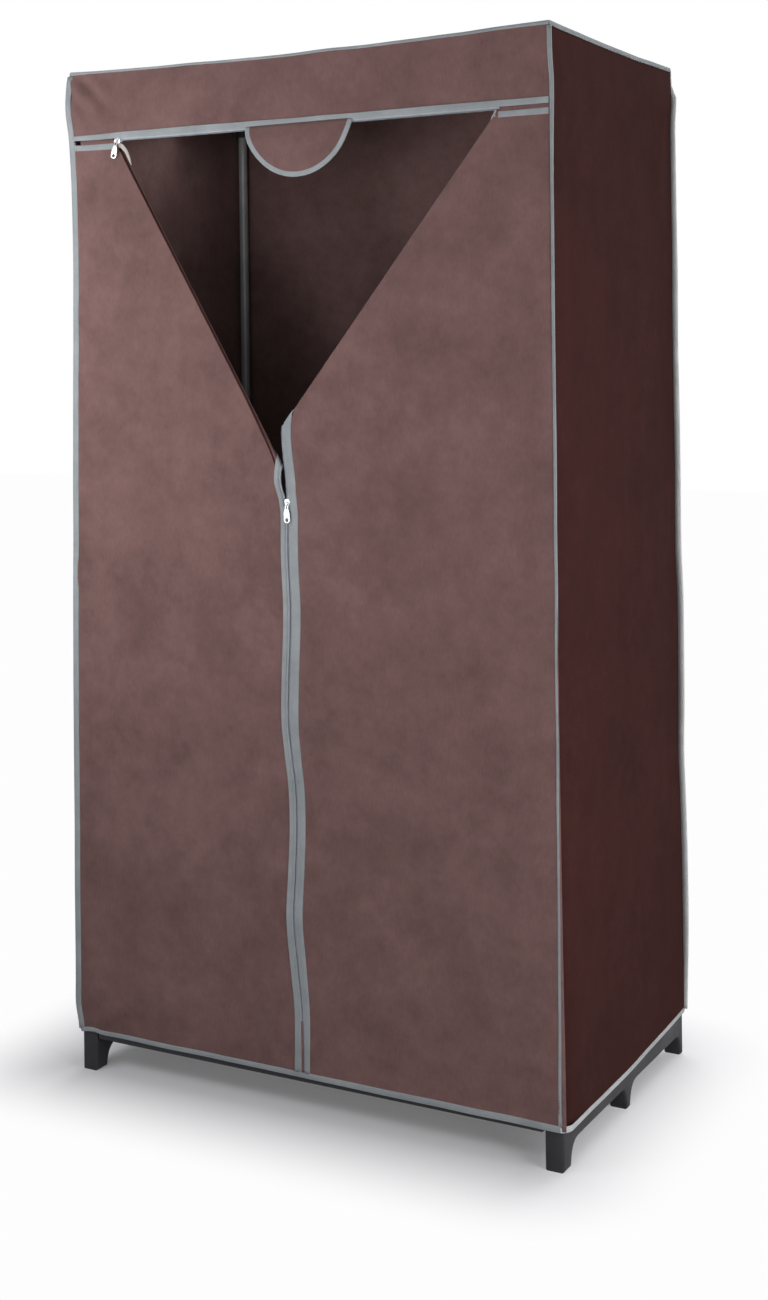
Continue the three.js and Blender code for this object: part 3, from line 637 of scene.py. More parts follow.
def repeats(name, spots, shape, finish, variety=0.06):
    """One mesh with a small shape on every spot."""
    mesh = bpy.data.meshes.new(name)
    mesh.from_pydata([tuple(p) for p, _, _ in spots], [], [])
    for key, which in (("way", 1), ("face", 2)):
        stored = mesh.attributes.new(key, "FLOAT_VECTOR", "POINT")
        stored.data.foreach_set("vector", [c for spot in spots for c in spot[which]])
    thing = placed(name, mesh)
    bpy.context.scene.collection.objects.link(shape)
    maker = thing.modifiers.new("repeats", "NODES")
    maker.node_group = REPEATS
    sockets = {s.name: s.identifier for s in REPEATS.interface.items_tree if s.in_out == "INPUT"}
    maker[sockets["Shape"]] = shape
    maker[sockets["Finish"]] = finish
    maker[sockets["Variety"]] = variety
    baked(thing)
    for key in ("way", "face"):
        if key in thing.data.attributes:
            thing.data.attributes.remove(thing.data.attributes[key])
    bpy.context.scene.collection.objects.unlink(shape)
    return thing


stitch_shape = small_rod("stitch", 2.7, 0.65, 0.5)
tooth_shape = small_rod("tooth", 2.3, 1.0, 1.3)
STITCH_PITCH = 4.2
TOOTH_PITCH = 1.7


def stitched(name, strip, lines):
    """A binding with rows of stitches on it, as one mesh."""
    rows = [repeats("row", spaced(line, STITCH_PITCH), stitch_shape, thread_spun) for line in lines]
    return joined(name, [strip, *rows])


def station_line(stations, p, q, closed=False):
    """The line at (p, q) of a sweep's section, with the way that it faces."""
    line = [(c + a * (p * MM) + o * (q * MM), o) for c, a, o in stations]
    return line + line[:1] if closed else line


# %% [markdown]
# ## Finished pieces
# Each finished piece hides the imported nodes that it stands for and hangs on the body that carries it.

# %% Finished pieces
def finish_piece(piece, slot, *nodes, body="cabinet"):
    """Hides the imported nodes that a finished piece stands for and hangs it on the body that carries it.
    The slot is not used.
    """
    if nodes:
        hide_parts(*nodes)
    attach(piece, body)
    return piece


# %% [markdown]
# ## The base
# Two side frames stand on three short feet each. Each foot runs into its rail with a hollow curve, long
# behind the foot and shorter ahead of it. An outline with a rounded edge all round gives the same soft
# corners as the moulding.

# %% Base side frames
base_low, base_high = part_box("base_side_right")
BASE_REACH = (base_high.y - base_low.y) / 2 / MM
RAIL_UNDERSIDE = 33
BASE_TOP = base_high.z / MM + 4
BASE_SHIFT = 2
FEET = [(-BASE_REACH, 27), (-4, 14), (BASE_REACH - 11, 11)]
FOOT_DRAFT = 1.4
FLARE_START = 8.5
FLARE_BEND = 6
FLARE_BEHIND = 28
FLARE_AHEAD = 16


def flare(foot_edge, way, steps=8):
    """The hollow curve from a foot's upright edge to the underside of the rail."""
    reach = FLARE_BEHIND if way > 0 else FLARE_AHEAD
    a = Vector((foot_edge + way * FOOT_DRAFT, FLARE_START))
    b = Vector((foot_edge + way * FLARE_BEND, RAIL_UNDERSIDE))
    c = Vector((foot_edge + way * reach, RAIL_UNDERSIDE))
    shares = [i / steps for i in range(steps + 1)]
    return [a * (1 - t) ** 2 + b * 2 * t * (1 - t) + c * t * t for t in shares]


def base_outline():
    points = []
    for start, length in FEET:
        end = start + length
        if start > -BASE_REACH:
            points += reversed(flare(start, -1))
        points += [(start, 0), (end, 0)]
        if end < BASE_REACH:
            points += flare(end, 1)
    return points + [(BASE_REACH, BASE_TOP), (-BASE_REACH, BASE_TOP)]


for side_name, side in SIDES:
    low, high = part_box(f"base_side_{side_name}")
    middle_x = (low.x + high.x) / 2 / MM + side * BASE_SHIFT
    wide = (high.x - low.x) / MM
    frame_side = plate(
        f"base_side_frame_{side_name}", base_outline(), wide, 4,
        lambda p, q, h: at(middle_x + h, p, q), base_plastic, steps=4,
    )
    finish_piece(frame_side, "moulded_plastic", f"base_side_{side_name}")
    print(frame_side.name, len(frame_side.data.polygons), "faces")

# %% Cross rails and floor board
RAIL_RISE = 3
for end_name in ("front", "rear"):
    low, high = cover_box(f"base_rail_{end_name}")
    low[2] += RAIL_RISE
    rail = block(f"base_cross_rail_{end_name}", low, high, 2.5, base_plastic)
    finish_piece(rail, "moulded_plastic", f"base_rail_{end_name}")

# The floor cloth takes the darker copy of the cloth, which is painted shade.
floor_board = block("floor_board", *cover_box("floor_panel"), 0.8, cloth_painted_shade)
finish_piece(floor_board, "cover_cloth", "floor_panel")

# %% [markdown]
# ## The tube frame
# Each tube is a rolled steel pipe with its end cut square and a light burr taken off. The connectors are
# moulded sleeves round a block, with a thicker lip where each tube goes in. The frame's boxes say where
# each lies, so one loop makes all the tubes and another all the connectors.


# %% Tubes
def tube_piece(node):
    low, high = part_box(node)
    size = high - low
    axis = max(range(3), key=lambda k: size[k])
    radius = min(size) / 2 / MM
    start = (low + high) / 2
    start[axis] = low[axis]
    way = Vector((0, 0, 0))
    way[axis] = 1
    length = size[axis] / MM
    bore = radius - 1
    chamfer = 0.4
    profile = [(bore, 0), (radius - chamfer, 0), (radius, chamfer)]
    profile += [(radius, length - chamfer), (radius - chamfer, length), (bore, length)]
    return finish_piece(turned(f"{node}_tube", start, way, profile, tube_steel), "tube_steel", node)


tube_nodes = [n for n in frame["nodes"] if "upright" in n or n.endswith("_bar") or "side_bar" in n]
tube_nodes.append("hanging_rail")
for node in sorted(tube_nodes):
    tube_piece(node)
print("tubes:", len(tube_nodes))

# %% Connectors
SLEEVE = 11.3
LIP = 1.2
BORE = 8.3
KNUCKLE = 11.5
SHORTEST_ARM = 25


def sleeve(centre, way, length):
    """One arm of a connector, with a lip at its mouth and a bore from its seat."""
    seat = length - 14
    mouth = SLEEVE + LIP
    profile = [(BORE, seat), (BORE, length - 0.5), (BORE + 0.6, length)]
    profile += [(mouth - 0.6, length), (mouth, length - 0.6), (mouth, length - 4)]
    profile += [(SLEEVE, length - 5.5), (SLEEVE - 0.3, 2), (0.02, 2), (0.02, seat)]
    return turned("arm", centre, way, profile, base_plastic, steps=28)


def connector(node, centre):
    """A block at the centre, with an arm to each far edge of the node's box."""
    low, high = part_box(node)
    middle = (centre.x / MM, (centre.y - MIDDLE_Y) / MM, centre.z / MM)
    corners = [[c + s * KNUCKLE for c in middle] for s in (-1, 1)]
    parts = [block("knuckle", *corners, 3.5, base_plastic)]
    for axis in range(3):
        for sign, edge in ((-1, low[axis]), (1, high[axis])):
            length = abs(edge - centre[axis]) / MM
            if length > SHORTEST_ARM:
                way = Vector((0, 0, 0))
                way[axis] = sign
                parts.append(sleeve(centre, way, length))
    piece = joined(f"{node}_moulding", parts)
    return finish_piece(piece, "moulded_plastic", node)


def middle_of(node):
    low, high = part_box(node)
    return (low + high) / 2


for side_name in ("left", "right"):
    for end_name in ("front", "rear"):
        corner = f"{end_name}_{side_name}"
        column = middle_of(f"upper_upright_{corner}")
        for node, bar in ((f"mid_coupler_{corner}", f"mid_side_bar_{side_name}"),
                          (f"top_corner_{corner}", f"top_side_bar_{side_name}")):
            connector(node, Vector((column.x, column.y, middle_of(bar).z)))
    centre = middle_of(f"top_side_bar_{side_name}")
    centre.y = middle_of("hanging_rail").y
    connector(f"rail_socket_{side_name}", centre)
print("connectors:", len([n for n in frame["nodes"] if "coupler" in n or "corner_" in n[:11]]))

# %% [markdown]
# ## How the cover hangs
# The roof sags between the bars, so its edges dip in the middle. The walls hang from the roof, with a
# shallow belly, long soft ripples and a few creases that start at the corners. All of that is small: one
# to four millimetres. It is done by moving the points of a fine grid, because a simulation of a cover
# that is nearly flat gives less control over where the creases lie.

# %% Sag, ripples and creases
TOP_SAG_FRONT = 7
TOP_SAG_SIDE = 3


def sag(x, y):
    dip = TOP_SAG_FRONT * (1 - (x / HALF_WIDTH) ** 2) + TOP_SAG_SIDE * (1 - (y / HALF_DEPTH) ** 2)
    lift = 0.9 * noise.noise(Vector((x / 70, y / 90, 3.1)))
    return dip + lift * min(1, 4 * (1 - abs(x) / HALF_WIDTH) + 4 * (1 - abs(y) / HALF_DEPTH))


# How far each upright binding lies outside the cover's true corner at some heights, and how far the cloth
# goes on round the corner past it.
BINDING_OUT = {
    ("front", -1): [(58, 1), (76, 3), (104, 8), (141, 8), (238, 7), (431, 5.8), (624, 4.7), (817, 1.8),
                    (1010, -1.4), (1202, -4.5), (1299, -6), (1395, -5.4), (1461, -2.7), (1500, 0.7),
                    (1539, 6), (1577, 3.6), (1598, -0.5)],
    ("front", 1): [(58, -3.5), (186, -2.5), (519, -1.5), (769, -0.8), (1018, 0), (1267, 0.6), (1433, 1.5),
                   (1517, 2.6), (1550, 1), (1600, 0.2)],
    ("rear", 1): [(58, 4), (167, 7.2), (248, 8.3), (411, 7), (492, 4.8), (573, 5.9), (736, 6.4),
                  (817, 4.1), (979, 4.6), (1142, 3.4), (1304, 3.9), (1506, 3.3), (1548, 5.5), (1558, 4),
                  (1568, -2), (1600, -2.5)],
}
BINDING_OUT["rear", -1] = BINDING_OUT["rear", 1]
WRAP = {
    ("front", -1): [(58, -1.2)],
    ("front", 1): [(58, 11.5), (300, 7), (800, 2.5), (1200, 0.5), (1433, -0.5)],
    ("rear", 1): [(58, -2.5), (250, -7.5), (1450, -6.5), (1548, -5.8), (1558, -4.2), (1568, 1.6),
                  (1600, 0.6)],
}
WRAP["rear", -1] = WRAP["rear", 1]


def side_shift(side, y, z):
    """How far a side wall lies outside its true place, between its front and its rear corner."""
    front, rear = (through(BINDING_OUT[end, side], z) + through(WRAP[end, side], z)
                   for end in ("front", "rear"))
    return front + (rear - front) * max(0, min(1, (y + HALF_DEPTH) / (2 * HALF_DEPTH)))


def cover(x, y, z):
    """A place on the hanging cover, whose corners aren't quite upright."""
    share = smooth_step((abs(x) - 290) / 125)
    if share > 0:
        side = 1 if x > 0 else -1
        x += side * share * side_shift(side, y, z)
    return at(x, y, z)


def hem_height(x, y):
    """The hem's upper edge: a small wave at the left front corner, and a rise to the right rear."""
    lift = 0
    if y < 0:
        lift = 3.2 * math.exp(-((x + 394) / 11) ** 2) - 1.6 * math.exp(-((x + 422) / 9) ** 2)
    rise = through([(-250, -1), (-100, -2), (0, -3), (70, -0.5), (250, 6)], y)
    return HEM + BINDING + lift + rise * smooth_step((x - 100) / 320)


def hem_width(x, y):
    """The hem's width: it is narrower at the left and along the sides."""
    if y < -HALF_DEPTH + 8:
        return through([(-420, 7), (-100, 8), (250, 9.6), (405, 9.6), (420, 8.6)], x)
    return through([(-242, 8.4), (-215, 7.4), (240, 6.6)], y)


def top_width(x, y):
    """The top binding's width: least at the left of the front."""
    if y < -HALF_DEPTH + 8:
        return through([(-420, 5.5), (-370, 3.6), (0, 3.8), (300, 4.4), (405, 5), (420, 5.8)], x)
    return 6.2


def wander(t, seed, length=70):
    """A slow random wave between about -1 and 1, for tape that isn't sewn quite straight."""
    return 1.6 * noise.noise(Vector((t / length, seed * 7.3, 0.5)))


def ripple(p, z, seed):
    """Soft relief of a hung wall, in millimetres: long upright ripples, patches and fine puckers."""
    long_ripple = noise.noise(Vector((p / 55, z / 420, seed)))
    patch = noise.noise(Vector((p / 120, z / 160, seed + 5)))
    pucker = noise.noise(Vector((p / 22, z / 60, seed + 9)))
    return 1.3 * long_ripple + 1.1 * patch + 0.35 * pucker


def crease(p, z, a, b, width, depth):
    """A soft ridge along the line from a to b that dies away at b."""
    a, b = Vector(a), Vector(b)
    line = b - a
    t = (Vector((p, z)) - a).dot(line) / line.length_squared
    if t < -0.1 or t > 1:
        return 0
    off = (Vector((p, z)) - a - line * t).length
    return depth * math.exp(-(off / width) ** 2) * (1 - smooth_step(t)) * smooth_step((t + 0.1) * 8)


def belly(u, v, bulge):
    """A wall's soft bulge: nothing at its edges, and most in its middle."""
    u, v = min(1, max(0, u)), min(1, max(0, v))
    return bulge * math.sin(math.pi * u) ** 0.8 * math.sin(math.pi * v) ** 0.6


# %% [markdown]
# ## Roof, sides and back
# Four panels of cloth. Each lies just inside its bindings, which cover its edges.

# %% Roof, sides and back
SHEET_X = HALF_WIDTH - SKIN
SHEET_Y = HALF_DEPTH - SKIN
LOW = HEM + SKIN
# A side wall's first columns are closer together: this share of them covers this run from the front. Its
# end turns in over so many times the depth of the turn.
CORNER_RUN = 36
CORNER_SHARE = 0.2
CORNER_EASE = 4.5
SIDE_CREASES = (((-240, 1590), (-90, 1330)), ((240, 1590), (150, 1250)), ((-244, 70), (-150, 330)))
REAR_CREASES = (((-410, 1590), (-220, 1300)), ((410, 1590), (260, 1280)), ((-410, 70), (-250, 300)))


def roof_place(u, v):
    x = -SHEET_X + 2 * SHEET_X * u
    y = -SHEET_Y + 2 * SHEET_Y * v
    edge = min(1, 12 * min(u, 1 - u, v, 1 - v))
    bars = 1.6 * math.exp(-((abs(y) - 230) / 14) ** 2) + 1.6 * math.exp(-((abs(x) - 400) / 14) ** 2)
    soft = edge * (ripple(x, y * 2, 21) - 2.5 * math.sin(math.pi * u) * math.sin(math.pi * v))
    return cover(x, y, TOP - SKIN - sag(x, y) + min(1, bars) + soft)


def side_place(side):
    """One side wall. Its front end comes round the corner to the binding, which lies on the front."""
    def place(u, v):
        if u < CORNER_SHARE:
            inwards = CORNER_RUN * (u / CORNER_SHARE) ** 2
        else:
            inwards = CORNER_RUN + (2 * SHEET_Y - CORNER_RUN) * (u - CORNER_SHARE) / (1 - CORNER_SHARE)
        y = inwards - SHEET_Y
        top = TOP - 2 - sag(side * HALF_WIDTH, y)
        low = hem_height(side * HALF_WIDTH, y) - hem_width(HALF_WIDTH, max(y, -215)) + SKIN
        z = low + (top - low) * v
        hold = smooth_step((y + SHEET_Y - 14) / 30) * min(1, 14 * (1 - u)) * min(1, 20 * min(v, 1 - v))
        out = belly(u, v, 2.4) + hold * (0.4 + 0.8 * ripple(y, z, 31 + side))
        out += hold * sum(crease(y, z, a, b, 16, 1.8) for a, b in SIDE_CREASES)
        bend = max(2, through(WRAP["front", side], z) + 2)
        part = max(0, 1 - inwards / (bend * CORNER_EASE))
        x = SHEET_X + side_shift(side, y, z) + out - bend * part ** 2
        return at(side * x, y, z)
    return place


def rear_place(u, v):
    x = -SHEET_X + 2 * SHEET_X * u
    top = TOP - 2 - sag(x, HALF_DEPTH)
    low = hem_height(x, HALF_DEPTH) - hem_width(x, HALF_DEPTH) + SKIN
    z = low + (top - low) * v
    hold = min(1, 16 * min(u, 1 - u)) * min(1, 20 * min(v, 1 - v))
    out = belly(u, v, 2) + hold * (0.3 + 0.7 * ripple(x, z, 41))
    out += sum(crease(x, z, a, b, 18, 1.4) for a, b in REAR_CREASES)
    return cover(x, SHEET_Y + out, z)


roof = outwards(sheet_mesh("roof_cloth", 84, 50, roof_place, cloth_front))
# The back and the sides take the darker copy of the cloth, painted shade, on their outer faces; their
# inner faces take the inside's cloth.
rear_wall = lined(sheet_mesh("rear_cloth", 84, 150, rear_place, cloth_painted_shade), Vector((0, -1, 0)))
side_walls = {}
for side_name, side in SIDES:
    wall = sheet_mesh(f"side_cloth_{side_name}", 60, 150, side_place(side), cloth_painted_shade)
    side_walls[side_name] = lined(wall, Vector((-side, 0, 0)))
finish_piece(roof, "cover_cloth", "roof_panel")
finish_piece(rear_wall, "cover_cloth", "rear_panel")
for side_name, wall in side_walls.items():
    finish_piece(wall, "cover_cloth", f"side_panel_{side_name}")
print("roof", len(roof.data.polygons), "side", len(side_walls["left"].data.polygons))

# %% [markdown]
# ## The header
# The header is the strip above the cross zip. It is tight at its seams, and its left end is pulled into
# slanting creases by the corner of the frame.

# %% Header
ZIP_Z = front_place("cross_pull_swing")[1]
BAND_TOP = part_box("header_zip_tape")[1].z / MM
BAND_LOW = BAND_TOP - 10
HEADER_CREASES = [
    ((-399, 1597), (-318, 1514), 5.5, -8.5),
    ((-417, 1590), (-330, 1504), 5.5, 8.0),
    ((-412, 1563), (-350, 1492), 6, -5.5),
    ((-385, 1596), (-290, 1520), 10, 3.6),
    ((-350, 1594), (-250, 1530), 16, -1.8),
    ((412, 1590), (330, 1505), 16, 1.8),
    ((405, 1560), (350, 1500), 10, -1.6),
]


def header_place(u, v):
    x = -SHEET_X + 2 * SHEET_X * u
    top = TOP - 2 - sag(x, HALF_DEPTH)
    z = BAND_LOW + 4 + (top - BAND_LOW - 4) * v
    hold = min(1, 30 * min(u, 1 - u)) * min(1, 6 * min(v, 1 - v))
    out = 1.2 * math.sin(math.pi * v) + hold * 0.5 * ripple(x, z, 51)
    out += hold * sum(crease(x, z, *c) for c in HEADER_CREASES)
    return cover(x, -SHEET_Y - out, z)


header = outwards(sheet_mesh("header_cloth", 160, 26, header_place, cloth_front))
finish_piece(header, "cover_cloth", "header_panel")

# %% [markdown]
# ## The front, drawn flat and then folded
# The front is two cloths that meet at the upright zip. Their upper corners are turned in along a
# slanting line. The real cover is cut flat and folded, so this one is too: the cloth, its tapes and its
# stitches are all drawn on a flat pattern, and one function folds any point of that pattern. Past the
# fold line a point goes round a small roll and then back at 45 degrees behind the panel.

# %% The fold
slider_way = joint("front_slider_travel")["axis"]
SLIDER_X, SLIDER_Z = front_place("front_pull_swing")
ZIP_LEAN = slider_way[0] / slider_way[2]
ZIP_FOOT_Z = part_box("zip_bottom_patch")[1].z / MM
FOLD_ROLL = {-1: 3.4, 1: 2.1}
FOLD_ANGLE = math.radians(135)
FRONT_Y = -HALF_DEPTH + 1.0
PANEL_TOP = ZIP_Z + 2.9


def zip_line(z):
    """The upright zip on the flat pattern: it leans a little to the left."""
    return SLIDER_X + ZIP_LEAN * (z - SLIDER_Z)


class Fold:
    """A fold line on the flat front, from the joint that turns its corner."""

    def __init__(self, name, side):
        self.roll = FOLD_ROLL[side]
        self.top = Vector(front_place(f"{name}_flap_fold"))
        axis = joint(f"{name}_flap_fold")["axis"]
        along = Vector((axis[0], axis[2])) * (-1 if axis[2] > 0 else 1)
        along.normalize()
        self.to_flap = Vector((-along.y, along.x))
        if self.to_flap.x * side > 0:
            self.to_flap = -self.to_flap

    def beyond(self, x, z):
        """How far a point lies past the fold line, in millimetres."""
        return (Vector((x, z)) - self.top).dot(self.to_flap)

    def place(self, x, z, depth):
        """The folded place of a flat point. depth is how far it stands in front of the cloth."""
        past = self.beyond(x, z)
        if past <= 0:
            return cover(x, FRONT_Y - depth, z)
        angle = min(FOLD_ANGLE, past / self.roll)
        run = max(0, past - self.roll * FOLD_ANGLE)
        radius = self.roll + depth
        inwards = radius * math.sin(angle) + run * math.cos(angle)
        back = self.roll - radius * math.cos(angle) + run * math.sin(angle)
        on_line = Vector((x, z)) - self.to_flap * past
        spot = on_line + self.to_flap * inwards
        return cover(spot.x, FRONT_Y + back, spot.y)

    def blend(self, piece, body):
        """Bakes the piece's place into its points; no part of it goes to the flap, and body is not used.
        """
        middle = at(self.top.x, FRONT_Y + self.roll, self.top.y)
        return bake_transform(piece)


folds = {name: Fold(name, side) for name, side in SIDES}
for name, fold in folds.items():
    print(name, "fold from", [round(c) for c in fold.top],
          "to the flap", [round(c, 3) for c in fold.to_flap])

# %% [markdown]
# The upright zip isn't a straight line. The cloth drags it into a slow S, and above the slider its two
# tapes part in a small dark gap. Three short tables give how far the middle, and each open edge, lies
# from the straight line. The cloth beside the zip goes along, less and less with the distance.

# %% How the zip wanders
ZIP_DRIFT = [(70, -2.5), (120, -0.4), (165, 0), (225, -5), (295, -9.8), (360, -5), (430, 0), (490, 0),
             (540, -5), (590, -9.3), (650, -7), (755, -0.4), (835, -1.8), (905, 0)]
OPENING = {
    -1: [(905, 0), (927, -3.3), (935, -6.4), (949, -10), (963, -9.7), (976, -7.5), (1000, -4), (1080, 0)],
    1: [(905, 0), (932, -2.1), (955, -3), (985, -6), (1020, -8), (1050, -6), (1080, 0)],
}
PULL_REACH = 160
EDGE_TUCK = 60


def drift(side, x, z):
    """How far a flat point of the front moves sideways, in millimetres."""
    moved = through(ZIP_DRIFT, z) + through(OPENING[side], z)
    away = abs(x - zip_line(z))
    return moved * (1 - smooth_step(away / PULL_REACH))


def front_point(side, x, z, depth):
    """A flat point of the front in its folded place, with the zip's wandering and the cloth's relief.

    At the right, the cloth's edge is tucked in behind its binding."""
    fold = folds["left" if side < 0 else "right"]
    if side > 0:
        edge = min(0, through(BINDING_OUT["front", 1], z) - 1.2 + SKIN)
        x += edge * smooth_step(1 - (HALF_WIDTH - x) / EDGE_TUCK)
    return fold.place(x + drift(side, x, z), z, depth + front_relief(side, fold, x, z))


FRONT_CREASES = {
    -1: [((-412, 1450), (-368, 1180), 12, 3.2), ((-392, 1462), (-322, 1250), 14, -3.0),
         ((-416, 78), (-296, 266), 10, 7), ((-400, 64), (-240, 176), 11, 6),
         ((-300, 1330), (-120, 1000), 26, 1.8), ((-240, 72), (-262, 190), 10, 1.8),
         ((-60, 900), (-200, 700), 30, -1.6), ((-405, 820), (-300, 560), 22, 1.6)],
    1: [((410, 1450), (300, 1230), 18, 1.6), ((404, 1380), (330, 1120), 16, -1.2),
        ((230, 1290), (60, 1060), 24, 1.3), ((404, 80), (330, 260), 18, 1.5),
        ((40, 960), (190, 760), 32, 1.2), ((120, 72), (100, 220), 12, 0.9)],
}


def front_relief(side, fold, x, z):
    """How far the hung front stands out: nothing at its seams, at the zip and along the fold."""
    past = fold.beyond(x, z)
    from_side = max(0, HALF_WIDTH - abs(x))
    from_zip = abs(x - zip_line(z))
    hold = smooth_step(from_side / 40) * smooth_step((z - HEM - 8) / 40)
    hold *= smooth_step(-past / 55) * smooth_step((ZIP_Z + 20 - z) / 60)
    calm = 0.25 + 0.75 * smooth_step(from_zip / 60)
    u = from_side / HALF_WIDTH
    v = (z - HEM) / (ZIP_Z - HEM)
    out = belly(u, v, 2.6) * calm + 0.9 * ripple(x, z, 61 + side) * calm
    near = smooth_step((from_side - (11 if side < 0 else 6)) / 22) * smooth_step((z - HEM - 8) / 20)
    near *= smooth_step(-past / 40) * smooth_step((ZIP_Z + 8 - z) / 40)
    creased = near * sum(crease(x, z, *c) for c in FRONT_CREASES[side])
    puff = (3.0 if side < 0 else 2.2) * smooth_step(-past / 34) * math.exp(-(past / 150) ** 2)
    puff *= smooth_step((ZIP_Z - 12 - z) / 90) * smooth_step((z - 960) / 120) * smooth_step(from_side / 40)
    return max(-0.4, hold * out + creased + puff)


# %% [markdown]
# The cloth is a flat grid. Cutting planes trim it to its pattern, and cut extra lines where it will roll
# over the fold, so that the roll is round. Then every point is folded. The left roll has a dark line in
# the photograph, so a band of it takes the darker copy of the cloth, which is painted shade.

# %% Front cloths
GRID = 8
ROLL_CUTS = 7
TAPE_EDGE = 5
# Where the band of painted shade on the left roll starts and ends, as shares of the roll's length.
DARK_FROM, DARK_TO = 0.14, 0.58


def cut_grid(low_x, high_x, low_z, high_z):
    """A flat grid in X and Z, in millimetres."""
    work = bmesh.new()
    columns = round((high_x - low_x) / GRID)
    rows = round((high_z - low_z) / GRID)
    lines = []
    for j in range(rows + 1):
        z = low_z + (high_z - low_z) * j / rows
        lines.append([work.verts.new((low_x + (high_x - low_x) * i / columns, 0, z))
                      for i in range(columns + 1)])
    for a, b in zip(lines, lines[1:]):
        for i in range(columns):
            work.faces.new((a[i], a[i + 1], b[i + 1], b[i]))
    return work


def cut(work, point, normal, clear=False):
    """Cuts along a plane, and drops what lies on the side that its normal points to."""
    bmesh.ops.bisect_plane(work, geom=work.verts[:] + work.edges[:] + work.faces[:], dist=1e-4,
                           plane_co=(point[0], 0, point[1]), plane_no=(normal[0], 0, normal[1]),
                           clear_outer=clear)


def open_end(work):
    """The small open end of the cross zip beside the left binding."""
    low_x, high_x, low_z = -SHEET_X + 10.5, -SHEET_X + 20, PANEL_TOP - 7
    cut(work, (low_x, 0), (1, 0))
    cut(work, (high_x, 0), (1, 0))
    cut(work, (0, low_z), (0, 1))
    centres = {f: f.calc_center_median() for f in work.faces}
    spare = [f for f, c in centres.items() if low_x < c.x < high_x and c.z > low_z]
    bmesh.ops.delete(work, geom=spare, context="FACES")


def front_cloth(name, side):
    fold = folds[name]
    outer = side * SHEET_X
    inner = -side * 30
    work = cut_grid(min(outer, inner), max(outer, inner), LOW + (2.5 if side < 0 else 0.5), PANEL_TOP)
    lean = Vector((zip_line(ZIP_Z) - zip_line(0), ZIP_Z)).normalized()
    edge_normal = Vector((lean.y, -lean.x)) * -side
    cut(work, (zip_line(0) + side * TAPE_EDGE, 0), edge_normal, clear=True)
    roll = fold.roll * FOLD_ANGLE
    for k in range(ROLL_CUTS + 1):
        cut(work, fold.top + fold.to_flap * (roll * k / ROLL_CUTS), fold.to_flap)
    flap_top = ZIP_Z - TAPE_EDGE
    cut(work, (0, flap_top), (0, 1))
    middles = [(f, f.calc_center_median()) for f in work.faces]
    spare = [f for f, m in middles if m.z > flap_top and fold.beyond(m.x, m.z) > 0]
    bmesh.ops.delete(work, geom=spare, context="FACES")
    if side < 0:
        open_end(work)
    middles = [f.calc_center_median() for f in work.faces]
    # Faces in that band of the left roll take the darker cloth: painted shade.
    shaded = [int(side < 0 and DARK_FROM < fold.beyond(m.x, m.z) / roll < DARK_TO) for m in middles]
    for vertex in work.verts:
        vertex.co = front_point(side, vertex.co.x, vertex.co.z, CLOTH / 2)
    mesh = mesh_from(f"front_cloth_{name}", work, cloth_front, cloth_painted_shade)
    cloth = placed(mesh.name, mesh)
    mesh.polygons.foreach_set("use_smooth", [True] * len(mesh.polygons))
    mesh.polygons.foreach_set("material_index", shaded)
    if sum(p.normal.y * p.area for p in mesh.polygons if p.center.z < 0.9) > 0:
        mesh.flip_normals()
    thickened(cloth, CLOTH)
    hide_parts(f"front_panel_{name}", f"corner_flap_{name}")
    fold.blend(cloth, f"{name}_flap")
    return cloth


front_cloths = {name: front_cloth(name, side) for name, side in SIDES}
for name, cloth in front_cloths.items():
    print(name, "front cloth", len(cloth.data.polygons), "faces")

# %% [markdown]
# ## Bindings
# A binding is a narrow tape folded over the edge of the cloth and stitched down along its own edge. Its
# section is a flat strip with softly rounded edges, dented along the stitching. It never lies quite
# straight, so its width and its line wander by about a millimetre.

# %% Binding section and edges
def tape_section(width, gauge, dent=0.3, inset=1.8):
    """A flat strip: p runs across from 0 to width, q stands out from the cloth."""
    return [
        (0, 0), (0.15, gauge * 0.75), (inset * 0.5, gauge), (inset, gauge - dent), (inset * 1.6, gauge),
        (width / 2, gauge + 0.15), (width - inset * 1.6, gauge), (width - inset, gauge - dent),
        (width - inset * 0.5, gauge), (width - 0.15, gauge * 0.75), (width, 0),
    ]


# How wide each upright binding is at some heights. The section is drawn for the first one.
UPRIGHT_WIDTH = {
    ("front", -1): [(58, 10.5)], ("rear", -1): [(58, 9.5)], ("rear", 1): [(58, 9.5)],
    ("front", 1): [(58, 5.2), (200, 3.9), (450, 3.2), (1250, 3), (1400, 3.2), (1500, 4.6), (1600, 5.4)],
}
TAPE_WRAP = [(-1.1, -2.2), (-1.2, -0.4), (-0.9, 0.6), (-0.2, 0.9)]


def corner_line(side, end, steps=150):
    """The stations of an upright binding: it lies on the front or back, beside the cover's corner."""
    name = "front" if end < 0 else "rear"
    low = hem_height(side * HALF_WIDTH, end * HALF_DEPTH) - 2
    high = TOP - BINDING * 0.7
    stations = []
    seed = 11 + 3 * side + end
    for i in range(steps + 1):
        z = low + (high - low) * i / steps
        ease = smooth_step((z - low) / 60) * smooth_step((high - z) / 50)
        out = ease * wander(z, seed, 120) * 0.5 + through(BINDING_OUT[name, side], z)
        twist = ease * wander(z, seed + 40, 90) * 0.25
        centre = at(side * (HALF_WIDTH + out), end * (HALF_DEPTH - SKIN), z)
        across = Vector((-side * math.cos(twist), -end * math.sin(twist) * -0.3, 0)).normalized()
        across *= through(UPRIGHT_WIDTH[name, side], z) / UPRIGHT_WIDTH[name, side][0][1]
        stations.append((centre, across, Vector((0, end, 0))))
    return stations


